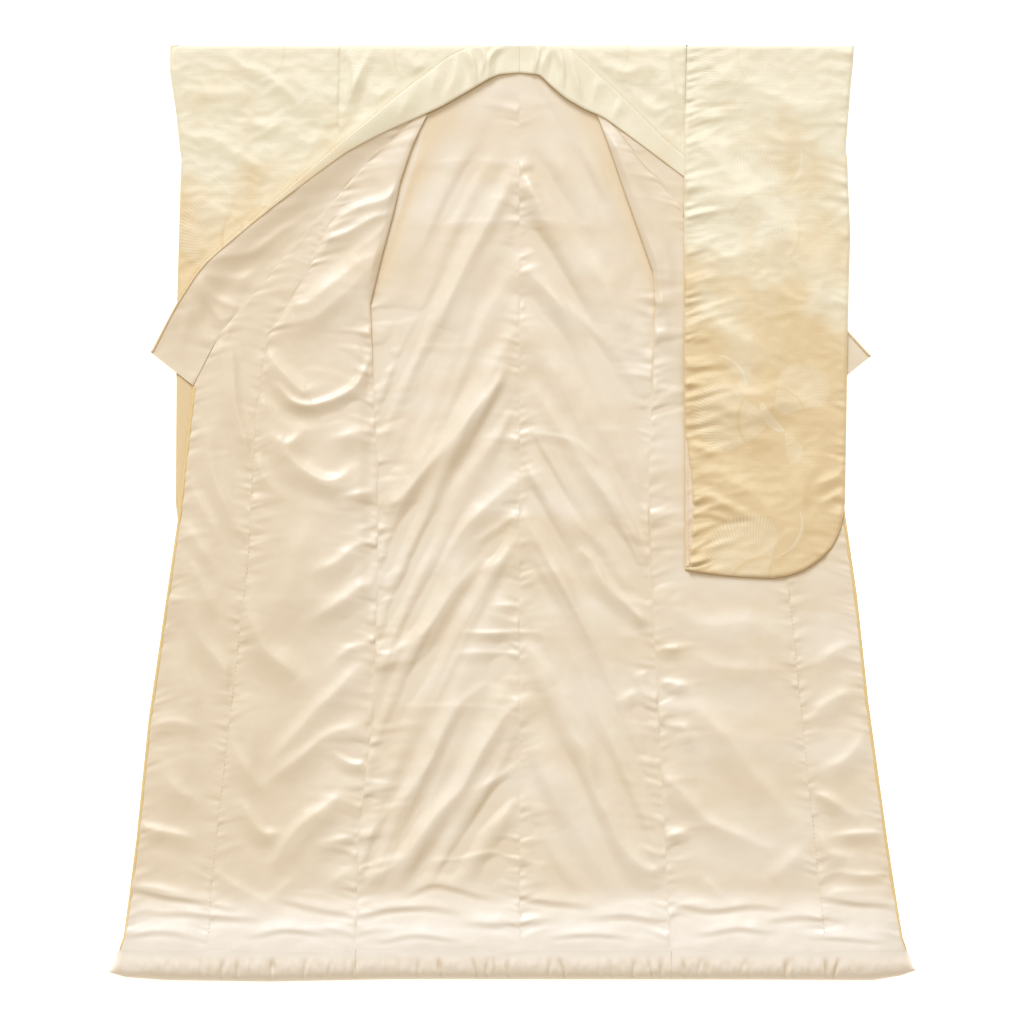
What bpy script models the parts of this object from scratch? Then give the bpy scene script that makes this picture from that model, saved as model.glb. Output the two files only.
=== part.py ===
"""Uchikake wedding kimono, laid open on its back with the lining up.

The garment lies flat: +Y runs from the hem to the shoulders, +X to the right
as it is seen from above, and +Z up from the surface that it lies on.  Left and
right below are as seen.  Both fronts are turned out like doors about the side
seams, the left one over its sleeve and the right one under its sleeve.

Plan positions are in centimetres: "across" from the centre back seam, "up"
from the hem line.  Heights are in millimetres.
"""
from collections import namedtuple
import math

import bpy
import bmesh

CM = 0.01
MM = 0.001

# Driving dimensions in centimetres
LENGTH = 185.4                      # hem line to shoulder line
SLEEVE_DROP = 105.5                 # shoulder line to the sleeve's lower edge
SLEEVE_BOTTOM = LENGTH - SLEEVE_DROP
SLEEVE_SEAM_END = 163.6             # where the sleeve seam stops below the shoulder
ARMPIT = 134.0                      # where the side seam starts
NECK_BOTTOM = 179.1                 # lowest point of the neckline
FRONT_TOP = 169.0                   # the opened fronts end here, under the collar's flap
OVERLAP_TOP_LEFT = 150.0            # the overlap panels taper to here
OVERLAP_TOP_RIGHT = 147.0
HEM_LEFT = -81.5                    # hem tips of the two opened fronts
HEM_RIGHT = 78.6
EDGE_TURN = 0.4                     # outer cloth turned in along the front edges

# Driving dimensions in millimetres
OUTER = 1.6                         # brocade with its interlining
LINING = 1.2                        # satin lining
GAP = 0.3                           # between layers and at seams
HEM_ROLL_HEIGHT = 26.0
FOLD_FADE = 2.6                     # centimetres in which a fold dies at a seam

# Heights at which the layers of a lying garment start
ON_FLOOR = 0.0
ON_OUTER = OUTER + GAP
ON_LINING = ON_OUTER + LINING + GAP
ON_FRONT = ON_LINING + OUTER + GAP
COLLAR_FLAP = ON_LINING             # above the collar's own lower wall
COLLAR_STACK = COLLAR_FLAP + OUTER + GAP

# Rows and columns of the panels' grids, in centimetres
ROW = 3.6
COLUMN = 2.9
PLAIN_ROW = 7.0
PLAIN_COLUMN = 6.0

CENTRE_ACROSS = (HEM_LEFT + HEM_RIGHT) / 2.0
CENTRE_UP = LENGTH / 2.0

Knot = namedtuple("Knot", "up across")
Fold = namedtuple("Fold", "path width height")
Station = namedtuple("Station", "edge flap seam level")
Spot = namedtuple("Spot", "across up")


def knots(*pairs):
    """A seam or edge as knots, from the hem up."""
    return [Knot(*pair) for pair in pairs]


CENTRE_BACK = knots((0.0, 0.0), (LENGTH, 0.0))

SIDE_LEFT = knots((0.0, -32.4), (28.0, -32.0), (53.0, -29.0), (80.5, -28.1), (101.0, -28.1),
                  (115.0, -28.8), (ARMPIT, -29.6))
SIDE_RIGHT = knots((0.0, 30.0), (28.0, 28.8), (55.5, 27.4), (80.5, 26.0), (101.0, 25.5),
                   (115.0, 26.2), (ARMPIT, 26.9))

# Above the armpit the front is folded over along a slant, the body runs to the sleeve seam
TURN_LEFT = knots((ARMPIT, -29.6), (143.8, -27.2), (152.4, -24.9), (158.3, -23.6), (165.2, -21.3),
                  (170.5, -18.9), (178.0, -14.5), (LENGTH, -10.4))
TURN_RIGHT = knots((ARMPIT, 26.9), (140.5, 26.4), (149.0, 23.4), (156.3, 20.8), (164.0, 18.2),
                   (170.5, 15.8), (178.0, 13.0), (LENGTH, 9.6))
SHOULDER_LEFT = knots((ARMPIT, -30.4), (150.0, -33.5), (SLEEVE_SEAM_END, -36.0), (LENGTH, -35.4))
SHOULDER_RIGHT = knots((ARMPIT, 27.7), (150.0, 30.5), (SLEEVE_SEAM_END, 32.5), (LENGTH, 33.0))

OVERLAP_SEAM_LEFT = knots((0.0, -62.0), (19.3, -61.1), (50.0, -57.7), (83.5, -53.8), (112.0, -52.2),
                          (128.0, -49.8), (139.5, -42.5), (155.4, -35.1))
OVERLAP_SEAM_RIGHT = knots((0.0, 61.2), (26.0, 58.5), (51.8, 55.9), (83.5, 52.6), (112.0, 49.8),
                           (128.0, 45.8), (139.5, 40.0), (151.4, 32.5))
FRONT_EDGE_LEFT = knots((6.5, -79.2), (9.0, -78.3), (28.6, -75.8), (52.2, -73.4), (73.8, -70.2),
                        (91.4, -67.6), (112.8, -65.2), (118.0, -64.6))
FRONT_EDGE_RIGHT = knots((6.5, 76.6), (9.0, 75.7), (28.0, 72.8), (55.7, 69.0), (76.3, 66.8),
                         (92.8, 64.4), (112.0, 61.9), (117.0, 61.0))
COLLAR_SEAM_LEFT = knots((118.0, -64.6), (128.3, -59.2), (134.9, -53.8), (147.3, -43.3),
                         (161.4, -30.8), (166.6, -25.4), (170.9, -20.6))
COLLAR_SEAM_RIGHT = knots((117.0, 61.0), (127.0, 51.6), (141.9, 41.3), (152.7, 32.4),
                          (158.3, 27.8), (163.1, 23.4), (170.9, 17.2))

SLEEVE_LEFT_OUT = knots((SLEEVE_BOTTOM, -60.0), (82.5, -64.4), (87.0, -67.2), (95.0, -68.1),
                        (135.7, -67.8), (163.0, -67.0), (165.0, -67.3), (172.6, -68.1),
                        (180.5, -69.3), (LENGTH, -69.2))
SLEEVE_LEFT_IN = knots((SLEEVE_BOTTOM, -37.5), (82.0, -36.4), (SLEEVE_SEAM_END, -36.0),
                       (LENGTH, -35.4))
SLEEVE_RIGHT_OUT = knots((SLEEVE_BOTTOM, 50.2), (80.6, 54.2), (82.5, 58.1), (86.0, 61.7),
                         (90.0, 63.6), (95.0, 64.4), (131.0, 65.0), (148.0, 65.5), (163.0, 64.9),
                         (165.0, 64.6), (176.3, 65.5), (182.3, 66.1), (LENGTH, 66.3))
SLEEVE_RIGHT_IN = knots((SLEEVE_BOTTOM, 48.0), (80.4, 40.0), (81.3, 32.7), (SLEEVE_SEAM_END, 32.5),
                        (LENGTH, 33.0))
SLEEVE_RIGHT_PULL = knots((SLEEVE_BOTTOM, 48.0), (80.4, 40.0), (81.3, 33.2), (88.0, 33.5),
                          (94.0, 34.2), (101.0, 33.6), (107.5, 32.7), (SLEEVE_SEAM_END, 32.5),
                          (LENGTH, 33.0))
SLEEVE_LINING_EDGE = knots((82.3, 33.0), (110.0, 32.8))
SLEEVE_LINING_BACK = knots((82.3, 36.5), (110.0, 36.5))

# Collar stations from the centre back to the lower end.  "level" is 1 where it lies on the front
COLLAR_LEFT = [
    Station(Spot(0.0, 185.4), Spot(0.0, 179.9), Spot(0.0, 179.6), 0.0),
    Station(Spot(-4.0, 185.4), Spot(-4.0, 179.5), Spot(-4.0, 180.2), 0.55),
    Station(Spot(-7.5, 185.2), Spot(-6.5, 178.4), Spot(-7.5, 181.2), 1.0),
    Station(Spot(-10.6, 184.6), Spot(-10.2, 176.2), Spot(-11.0, 177.6), 1.0),
    Station(Spot(-14.6, 182.6), Spot(-15.4, 173.2), Spot(-15.8, 174.4), 1.0),
    Station(Spot(-24.0, 175.4), Spot(-20.6, 170.8), Spot(-20.6, 170.9), 1.0),
    Station(Spot(-30.0, 170.3), Spot(-27.8, 167.5), Spot(-25.4, 166.6), 1.0),
    Station(Spot(-36.0, 165.4), Spot(-34.7, 163.7), Spot(-30.8, 161.4), 1.0),
    Station(Spot(-49.4, 153.7), Spot(-48.9, 153.1), Spot(-43.3, 147.3), 1.0),
    Station(Spot(-62.1, 142.5), Spot(-61.8, 142.2), Spot(-53.8, 134.9), 1.0),
    Station(Spot(-67.9, 134.1), Spot(-67.6, 133.9), Spot(-59.2, 128.3), 1.0),
    Station(Spot(-73.0, 124.6), Spot(-72.6, 124.4), Spot(-64.6, 118.0), 1.0),
]
COLLAR_RIGHT = [
    Station(Spot(0.0, 185.4), Spot(0.0, 179.9), Spot(0.0, 179.6), 0.0),
    Station(Spot(4.0, 185.4), Spot(3.9, 179.4), Spot(4.0, 180.2), 0.55),
    Station(Spot(7.5, 185.2), Spot(6.3, 177.2), Spot(7.5, 181.2), 1.0),
    Station(Spot(10.2, 184.4), Spot(9.2, 174.8), Spot(10.0, 176.8), 1.0),
    Station(Spot(13.6, 181.3), Spot(12.8, 172.7), Spot(13.4, 173.6), 1.0),
    Station(Spot(20.0, 175.4), Spot(16.9, 170.8), Spot(17.2, 170.9), 1.0),
    Station(Spot(27.8, 167.5), Spot(25.0, 164.9), Spot(23.4, 163.1), 1.0),
    Station(Spot(32.6, 163.3), Spot(30.3, 160.9), Spot(27.8, 158.3), 1.0),
    Station(Spot(38.2, 157.8), Spot(36.5, 156.3), Spot(32.4, 152.7), 1.0),
    Station(Spot(47.6, 148.4), Spot(47.1, 147.9), Spot(41.3, 141.9), 0.0),
    Station(Spot(60.0, 134.5), Spot(59.6, 134.2), Spot(51.6, 127.0), 0.0),
    Station(Spot(69.6, 123.9), Spot(69.3, 123.6), Spot(61.0, 117.0), 0.0),
]
COLLAR_LINING_FIRST = 5             # first station whose lining shows
NECK_LEFT = [Knot(179.2, 0.0), Knot(180.5, -7.5), Knot(LENGTH, -10.0)]
NECK_RIGHT = [Knot(179.2, 0.0), Knot(180.5, 7.5), Knot(LENGTH, 9.2)]

# Largest folds, each a ridge along a path of (across, up), with its width in cm and height in mm
BACK_FOLDS = [
    Fold([(-1.0, 162.0), (-7.5, 148.0), (-12.4, 137.3), (-16.5, 126.0)], 3.2, 9.0),
    Fold([(0.8, 161.0), (4.9, 153.0), (9.0, 146.0)], 2.4, 6.0),
    Fold([(2.0, 157.5), (16.9, 137.3), (22.0, 126.6)], 3.0, 9.0),
    Fold([(0.5, 142.5), (7.0, 135.3), (17.5, 125.0)], 2.8, 8.0),
    Fold([(-0.5, 141.0), (-7.0, 131.0), (-10.5, 121.0)], 2.6, 6.5),
    Fold([(-0.5, 129.5), (-9.0, 116.0), (-18.0, 105.0), (-22.5, 101.0)], 2.8, 7.5),
    Fold([(0.5, 131.0), (10.0, 118.0), (19.0, 104.0)], 2.8, 7.0),
    Fold([(-1.0, 121.0), (-10.5, 110.5), (-19.0, 100.5), (-25.0, 94.5)], 2.6, 9.0),
    Fold([(1.0, 120.0), (11.0, 105.5), (20.9, 90.4)], 3.0, 9.0),
    Fold([(0.8, 110.0), (5.4, 100.1), (11.2, 91.0), (18.9, 82.7), (24.5, 72.0)], 2.4, 9.0),
    Fold([(-0.5, 112.0), (-8.0, 103.0), (-16.0, 93.0)], 2.4, 6.0),
    Fold([(-0.3, 101.5), (-10.0, 91.0), (-15.5, 81.5), (-20.5, 73.0)], 3.0, 9.0),
    Fold([(-0.2, 94.0), (-8.2, 87.2), (-13.0, 79.0)], 2.4, 6.0),
    Fold([(0.8, 92.0), (8.0, 80.0), (14.0, 66.0)], 3.0, 7.5),
    Fold([(-1.0, 82.5), (-9.0, 71.0), (-15.0, 57.0), (-18.0, 46.0)], 3.4, 7.0),
    Fold([(1.0, 74.0), (9.0, 59.0), (14.5, 44.0)], 3.4, 6.5),
    Fold([(-1.5, 60.0), (-8.0, 47.0), (-12.0, 33.0)], 3.4, 5.5),
    Fold([(2.0, 55.0), (9.0, 38.0), (13.0, 25.0)], 3.2, 5.0),
]
LEFT_FRONT_FOLDS = [
    Fold([(-24.8, 156.5), (-30.0, 152.5), (-37.5, 149.5), (-45.0, 145.0)], 2.2, 8.0),
    Fold([(-25.8, 151.0), (-33.0, 146.5), (-41.0, 139.5), (-47.0, 133.5)], 2.6, 9.0),
    Fold([(-27.5, 143.0), (-34.0, 136.5), (-41.0, 131.0), (-48.5, 130.0)], 2.8, 7.0),
    Fold([(-49.0, 125.5), (-43.8, 117.4), (-39.2, 114.6), (-34.6, 116.6), (-31.0, 121.0)], 2.6, 10.0),
    Fold([(-50.5, 110.0), (-43.0, 101.0), (-36.0, 97.5), (-30.5, 99.0)], 2.6, 7.0),
    Fold([(-30.0, 108.0), (-36.5, 106.5), (-43.0, 108.5)], 2.6, 5.0),
    Fold([(-29.5, 79.5), (-38.1, 73.4), (-46.0, 71.5)], 2.6, 6.5),
    Fold([(-52.5, 76.5), (-50.0, 67.0), (-43.9, 60.3)], 2.8, 7.0),
    Fold([(-31.0, 63.5), (-39.0, 54.0), (-47.8, 44.3)], 3.0, 7.5),
    Fold([(-34.8, 38.5), (-40.0, 31.0), (-46.0, 24.5)], 3.2, 6.5),
]
LEFT_OVERLAP_FOLDS = [
    Fold([(-61.5, 133.0), (-59.0, 122.0), (-58.5, 108.0), (-57.0, 95.0)], 2.0, 5.5),
    Fold([(-65.0, 104.0), (-62.5, 93.0), (-62.5, 80.0), (-59.0, 65.0), (-58.8, 56.0)], 2.6, 7.0),
    Fold([(-70.0, 66.0), (-66.0, 50.0), (-66.5, 36.0)], 3.0, 6.0),
    Fold([(-73.8, 31.0), (-67.5, 29.3), (-61.5, 30.0)], 2.6, 5.0),
]
RIGHT_FRONT_FOLDS = [
    Fold([(21.5, 158.0), (25.5, 150.0), (28.5, 141.0)], 2.0, 7.0),
    Fold([(27.5, 76.0), (36.0, 70.5), (45.0, 71.0), (51.5, 67.5)], 3.2, 7.5),
    Fold([(29.0, 60.0), (37.0, 51.0), (46.0, 47.5), (53.0, 50.0)], 3.4, 6.5),
    Fold([(30.0, 38.0), (38.0, 30.0), (48.0, 27.5)], 3.4, 6.0),
]
RIGHT_OVERLAP_FOLDS = [
    Fold([(56.0, 74.0), (58.5, 60.0), (63.5, 47.0)], 3.0, 6.0),
    Fold([(68.0, 55.0), (65.5, 40.0), (66.5, 27.0)], 3.0, 5.5),
]
LEFT_SLEEVE_FOLDS = [
    Fold([(-64.0, 176.5), (-56.0, 174.0), (-48.0, 170.0)], 3.0, 5.5),
    Fold([(-46.0, 181.0), (-41.5, 176.0), (-38.5, 171.0)], 2.4, 5.0),
    Fold([(-66.0, 166.0), (-58.0, 163.5), (-50.0, 163.0)], 2.8, 4.5),
    Fold([(-64.5, 156.0), (-60.0, 152.5), (-55.0, 152.0)], 2.6, 4.0),
]
RIGHT_SLEEVE_FOLDS = [
    Fold([(36.0, 176.5), (44.0, 178.0), (55.0, 173.0), (62.0, 174.0)], 3.4, 6.0),
    Fold([(35.0, 158.0), (42.0, 155.0), (50.0, 157.5)], 3.0, 5.0),
    Fold([(56.0, 150.0), (60.0, 141.0), (57.0, 130.0)], 3.6, 6.0),
    Fold([(35.5, 133.0), (42.0, 128.0), (50.0, 124.0)], 3.2, 5.5),
    Fold([(36.0, 117.0), (45.0, 112.0), (54.0, 115.0), (61.0, 111.0)], 3.2, 6.5),
    Fold([(37.0, 102.0), (45.0, 97.0), (52.0, 89.0)], 3.6, 7.5),
    Fold([(58.0, 104.0), (55.5, 95.0), (58.0, 88.0)], 3.2, 6.5),
]
SHOULDER_FOLDS_LEFT = [
    Fold([(-33.0, 183.0), (-33.5, 177.0), (-35.0, 170.0)], 1.4, 5.0),
    Fold([(-29.0, 184.0), (-31.5, 178.0), (-33.0, 174.0)], 1.8, 5.0),
    Fold([(-23.0, 183.5), (-19.0, 180.5), (-17.0, 181.0)], 1.8, 4.0),
]
SHOULDER_FOLDS_RIGHT = [
    Fold([(15.0, 183.5), (20.0, 180.0), (25.0, 181.0)], 1.8, 4.5),
    Fold([(29.0, 183.0), (30.0, 177.0), (31.5, 171.5)], 1.6, 5.0),
]

# Lower edge of the hem roll: up against across
HEM_LINE = [Knot(1.9, HEM_LEFT), Knot(0.9, -78.0), Knot(0.3, -70.0), Knot(0.0, -50.0),
            Knot(0.5, -24.0), Knot(0.4, 48.0), Knot(0.3, 70.0), Knot(1.2, 75.5), Knot(2.3, HEM_RIGHT)]
HEM_TOP = 6.2
HEM_SLANT = 1.9                     # the roll's tips slant in by this much at their upper corner
ROLL_SIDES = 4                      # facets of the round lower side, and of the run up to the band
ROLL_CREST = 0.52                   # the roll is highest at this share of its width
ROLL_TIP = 9.0                      # the roll slims over this length at each tip
TIP_SHARE = 0.6                     # to this share of its height
ROLL_STEP = 2.2
HEM_TACKS = [-58.3, -49.8, -40.3, -34.0, -23.6, -17.5, -12.8, -3.8, 4.9, 11.6, 12.8, 21.7,
             29.6, 34.0, 39.4, 45.9, 54.7, 67.4]
TACK_WIDTH = 1.2
TACK_DEPTH = 0.28                   # share of the roll's height
PADDED_FULL = 9.0                   # the padding above the roll is full up to here
PADDED_BAND = 16.0                  # and ends here
PADDED_RISE = 11.0                  # millimetres

COLLAR_CLEAR = 4.4                  # the sleeve stays up this far past the collar's edge
COLLAR_RAMP = 11.0                  # and is down again here
SLEEVE_RAMP_LOW = 66.0
SLEEVE_RAMP_HIGH = 76.0
TURN_RAMP_LOW = 118.0
TURN_RAMP_HIGH = 130.0
LEFT_STEP_IN = -29.2                # across, where the left front starts to climb its sleeve
LEFT_STEP_OUT = -32.2
RIGHT_STEP_IN = 35.5                # across, where the right front comes down off its shoulder
RIGHT_STEP_OUT = 41.0
PILE_IN = 48.0                      # the right sleeve lies on the collar's fold up to here
PILE_OUT = 56.0
PILE_LOW = 108.0
PILE_HIGH = 114.0
BACK_FOLDS_HIGH = 160.0             # the back's folds fade out above here
BACK_FOLDS_END = 167.0
SHOWN_BESIDE = (29.0, 31.6)         # the right front's folds end here, beside its sleeve
SHOWN_BELOW = (5.0, 2.0)            # and this far below it

Finish = namedtuple("Finish", "colour roughness metallic")
GOLD = Finish((0.86, 0.74, 0.50), 0.52, 0.0)         # gold brocade, the garment's face
IVORY = Finish((0.85, 0.77, 0.64), 0.42, 0.0)        # ivory satin, its lining


def clear_scene():
    """Remove the objects of the open scene."""
    for item in list(bpy.data.objects):
        bpy.data.objects.remove(item, do_unlink=True)


def material(name, finish):
    """A Principled material of its own for one sub-part."""
    made = bpy.data.materials.new(name + "_cloth")
    made.use_nodes = True
    shader = made.node_tree.nodes["Principled BSDF"]
    shader.inputs["Base Color"].default_value = (*finish.colour, 1.0)
    shader.inputs["Roughness"].default_value = finish.roughness
    shader.inputs["Metallic"].default_value = finish.metallic
    made.diffuse_color = (*finish.colour, 1.0)
    return made


def smooth(low, high, value):
    """0 below low, 1 above high, with soft ends."""
    share = min(max((value - low) / (high - low), 0.0), 1.0)
    return share * share * (3.0 - 2.0 * share)


def along(rail, up):
    """The across position of a seam or edge at a height above the hem."""
    if up <= rail[0].up:
        return rail[0].across
    for lower, upper in zip(rail, rail[1:]):
        if up <= upper.up:
            share = (up - lower.up) / (upper.up - lower.up)
            return lower.across + (upper.across - lower.across) * share
    return rail[-1].across


def across_line(line, across):
    """The up position of a line that is given against across, from left to right."""
    if across <= line[0].across:
        return line[0].up
    for left, right in zip(line, line[1:]):
        if across <= right.across:
            share = (across - left.across) / (right.across - left.across)
            return left.up + (right.up - left.up) * share
    return line[-1].up


def place(across, up, height):
    """A plan position in centimetres and a height in millimetres, as metres in the part's frame."""
    return ((across - CENTRE_ACROSS) * CM, (up - CENTRE_UP) * CM, height * MM)


def rows_between(low, high, step, *rails):
    """Row positions from low to high: an even spread, with every knot of the two rails."""
    fixed = sorted({low, high} | {knot.up for rail in rails for knot in rail if low < knot.up < high})
    rows = [fixed[0]]
    for start, end in zip(fixed, fixed[1:]):
        count = max(1, round((end - start) / step))
        rows.extend(start + (end - start) * (i + 1) / count for i in range(count))
    return rows


def nearest_on(path, across, up):
    """Distance to a fold's path, and how far along it from 0 to 1."""
    best, where = 1e9, 0.0
    spans = len(path) - 1
    for index, ((x0, y0), (x1, y1)) in enumerate(zip(path, path[1:])):
        dx, dy = x1 - x0, y1 - y0
        share = ((across - x0) * dx + (up - y0) * dy) / (dx * dx + dy * dy)
        share = min(max(share, 0.0), 1.0)
        gap = math.hypot(across - x0 - dx * share, up - y0 - dy * share)
        if gap < best:
            best, where = gap, (index + share) / spans
    return best, where


def fold_height(folds, across, up):
    """Height in millimetres that a table of folds gives at a point."""
    total = 0.0
    for fold in folds:
        gap, where = nearest_on(fold.path, across, up)
        taper = math.sin(math.pi * min(max(0.12 + 0.8 * where, 0.0), 1.0)) ** 0.6
        total += fold.height * taper * math.exp(-((gap / fold.width) ** 2))
    return total


def solid_object(name, finish, verts, faces):
    """One closed body with its faces pointing out."""
    mesh = bpy.data.meshes.new(name)
    mesh.from_pydata(verts, [], faces)
    shape = bmesh.new()
    shape.from_mesh(mesh)
    bmesh.ops.recalc_face_normals(shape, faces=shape.faces)
    shape.to_mesh(mesh)
    shape.free()
    mesh.materials.append(material(name, finish))
    made = bpy.data.objects.new(name, mesh)
    bpy.context.scene.collection.objects.link(made)
    return made


def grid_wall(name, finish, lines, wall):
    """A wall of even thickness over a grid of (across, up, height) underside points."""
    rows, cols = len(lines), len(lines[0])
    under = [place(*point) for line in lines for point in line]
    over = [(x, y, z + wall * MM) for x, y, z in under]
    shift = rows * cols
    faces = []
    for r in range(rows - 1):
        for c in range(cols - 1):
            a = r * cols + c
            b, d, e = a + 1, a + cols, a + cols + 1
            faces += [(a, e, b), (a, d, e)]
            faces += [(a + shift, b + shift, e + shift), (a + shift, e + shift, d + shift)]
    border = ([c for c in range(cols)] + [r * cols + cols - 1 for r in range(1, rows)]
              + [(rows - 1) * cols + c for c in range(cols - 2, -1, -1)]
              + [r * cols for r in range(rows - 2, 0, -1)])
    for start, end in zip(border, border[1:] + border[:1]):
        faces.append((start, end, end + shift, start + shift))
    return solid_object(name, finish, under + over, faces)


def panel(name, finish, left, right, span, height, wall, step=(ROW, COLUMN), inset=(1, 1)):
    """A cloth panel between two rails, from span[0] to span[1] above the hem.

    height(across, up) is the height of its underside.  inset is how many half
    seam gaps the panel keeps from each rail.
    """
    rows = rows_between(span[0], span[1], step[0], left, right)
    width = max(along(right, up) - along(left, up) for up in rows)
    columns = max(1, round(width / step[1]))
    half = GAP * 0.1 / 2.0
    lines = []
    for up in rows:
        start = along(left, up) + half * inset[0]
        end = along(right, up) - half * inset[1]
        line = []
        for column in range(columns + 1):
            across = start + (end - start) * column / columns
            line.append((across, up, height(across, up)))
        lines.append(line)
    return grid_wall(name, finish, lines, wall)


def join_rails(*parts):
    """One rail from several that follow each other upwards."""
    joined = []
    for rail in parts:
        for knot in rail:
            if not joined or knot.up > joined[-1].up + 1e-6:
                joined.append(knot)
    return joined


def clip_rail(rail, low, high):
    """The stretch of a rail between two heights."""
    inner = [knot for knot in rail if low < knot.up < high]
    return [Knot(low, along(rail, low))] + inner + [Knot(high, along(rail, high))]


def fade(across, up, left, right, reach=FOLD_FADE):
    """1 inside a panel, 0 at both of its rails."""
    return (smooth(0.0, reach, across - along(left, up))
            * smooth(0.0, reach, along(right, up) - across))


def padded_rise(up):
    """How far the padding lifts the lining above the hem roll."""
    return PADDED_RISE * (1.0 - smooth(PADDED_FULL, PADDED_BAND, up))


def left_front_level(across, up):
    """Height of the opened left front's outer cloth: over its sleeve and its own shoulder."""
    on_sleeve = smooth(-LEFT_STEP_IN, -LEFT_STEP_OUT, -across)
    over_sleeve = on_sleeve * smooth(SLEEVE_RAMP_LOW, SLEEVE_RAMP_HIGH, up)
    over_shoulder = smooth(TURN_RAMP_LOW, TURN_RAMP_HIGH, up)
    return ON_FRONT * max(over_sleeve, over_shoulder)


def right_front_level(across, up):
    """Height of the opened right front's outer cloth: over its own shoulder only."""
    return (ON_FRONT * smooth(TURN_RAMP_LOW, TURN_RAMP_HIGH, up)
            * (1.0 - smooth(RIGHT_STEP_IN, RIGHT_STEP_OUT, across)))


def collar_edge_up(across):
    """Height above the hem of the right collar's outer edge."""
    line = [Knot(station.edge.up, station.edge.across) for station in COLLAR_RIGHT]
    return across_line(line, across)


def right_sleeve_level(across, up):
    """Height of the right sleeve's underside, which lies over the opened right front."""
    above = up - collar_edge_up(across)
    covered = 1.0 - smooth(COLLAR_CLEAR, COLLAR_RAMP, above)
    piled = (1.0 - smooth(PILE_IN, PILE_OUT, across)) * smooth(PILE_LOW, PILE_HIGH, up)
    return covered * (ON_FRONT + piled * COLLAR_STACK)


# Long rails of the body: down the side seam and up to the shoulder, or along the turned front
BODY_LEFT = join_rails(SIDE_LEFT, SHOULDER_LEFT)
BODY_RIGHT = join_rails(SIDE_RIGHT, SHOULDER_RIGHT)
OPENED_LEFT = join_rails(SIDE_LEFT, TURN_LEFT)
OPENED_RIGHT = join_rails(SIDE_RIGHT, TURN_RIGHT)
INNER_LEFT = join_rails(OVERLAP_SEAM_LEFT, clip_rail(COLLAR_SEAM_LEFT, 156.5, 170.9))
INNER_RIGHT = join_rails(OVERLAP_SEAM_RIGHT, clip_rail(COLLAR_SEAM_RIGHT, 152.5, 170.9))
EDGE_LEFT = join_rails(FRONT_EDGE_LEFT, COLLAR_SEAM_LEFT)
EDGE_RIGHT = join_rails(FRONT_EDGE_RIGHT, COLLAR_SEAM_RIGHT)
NECK_RAIL_LEFT = join_rails(clip_rail(CENTRE_BACK, 0.0, NECK_BOTTOM), NECK_LEFT)
NECK_RAIL_RIGHT = join_rails(clip_rail(CENTRE_BACK, 0.0, NECK_BOTTOM), NECK_RIGHT)
PANEL_BOTTOM = HEM_TOP + GAP * 0.1


def on_floor(across, up):
    """Height of what lies on the floor."""
    return ON_FLOOR


def outer_panels():
    """The brocade: back, opened fronts and overlap panels, which lie face down."""
    plain = (PLAIN_ROW, PLAIN_COLUMN)
    whole = (PANEL_BOTTOM, LENGTH)
    panel("back_outer_left", GOLD, BODY_LEFT, NECK_RAIL_LEFT, whole, on_floor, OUTER, plain)
    panel("back_outer_right", GOLD, NECK_RAIL_RIGHT, BODY_RIGHT, whole, on_floor, OUTER, plain)

    step = (ROW, PLAIN_COLUMN / 2.0)
    front = (PANEL_BOTTOM, FRONT_TOP)
    panel("front_outer_left", GOLD, INNER_LEFT, OPENED_LEFT, front, left_front_level, OUTER, step)
    panel("front_outer_right", GOLD, OPENED_RIGHT, INNER_RIGHT, front, right_front_level, OUTER,
          step)
    panel("overlap_outer_left", GOLD, EDGE_LEFT, OVERLAP_SEAM_LEFT,
          (PANEL_BOTTOM, OVERLAP_TOP_LEFT), left_front_level, OUTER, step)
    panel("overlap_outer_right", GOLD, OVERLAP_SEAM_RIGHT, EDGE_RIGHT,
          (PANEL_BOTTOM, OVERLAP_TOP_RIGHT), right_front_level, OUTER, step)


def shoulder_panels():
    """The upper fronts, still face up between the sleeve seam, the shoulder and the collar."""
    for name, left, right, stations, folds in (
            ("shoulder_front_left", SHOULDER_LEFT, TURN_LEFT, COLLAR_LEFT, SHOULDER_FOLDS_LEFT),
            ("shoulder_front_right", TURN_RIGHT, SHOULDER_RIGHT, COLLAR_RIGHT, SHOULDER_FOLDS_RIGHT)):
        line = sorted((Knot(s.edge.up, s.edge.across) for s in stations), key=lambda k: k.across)

        def height(across, up, line=line, folds=folds):
            open_cloth = smooth(1.2, 3.2, up - across_line(line, across))
            return ON_LINING + open_cloth * fold_height(folds, across, up)

        panel(name, GOLD, left, right, (ARMPIT + 0.8, LENGTH), height, OUTER, (2.6, 2.6))


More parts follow.
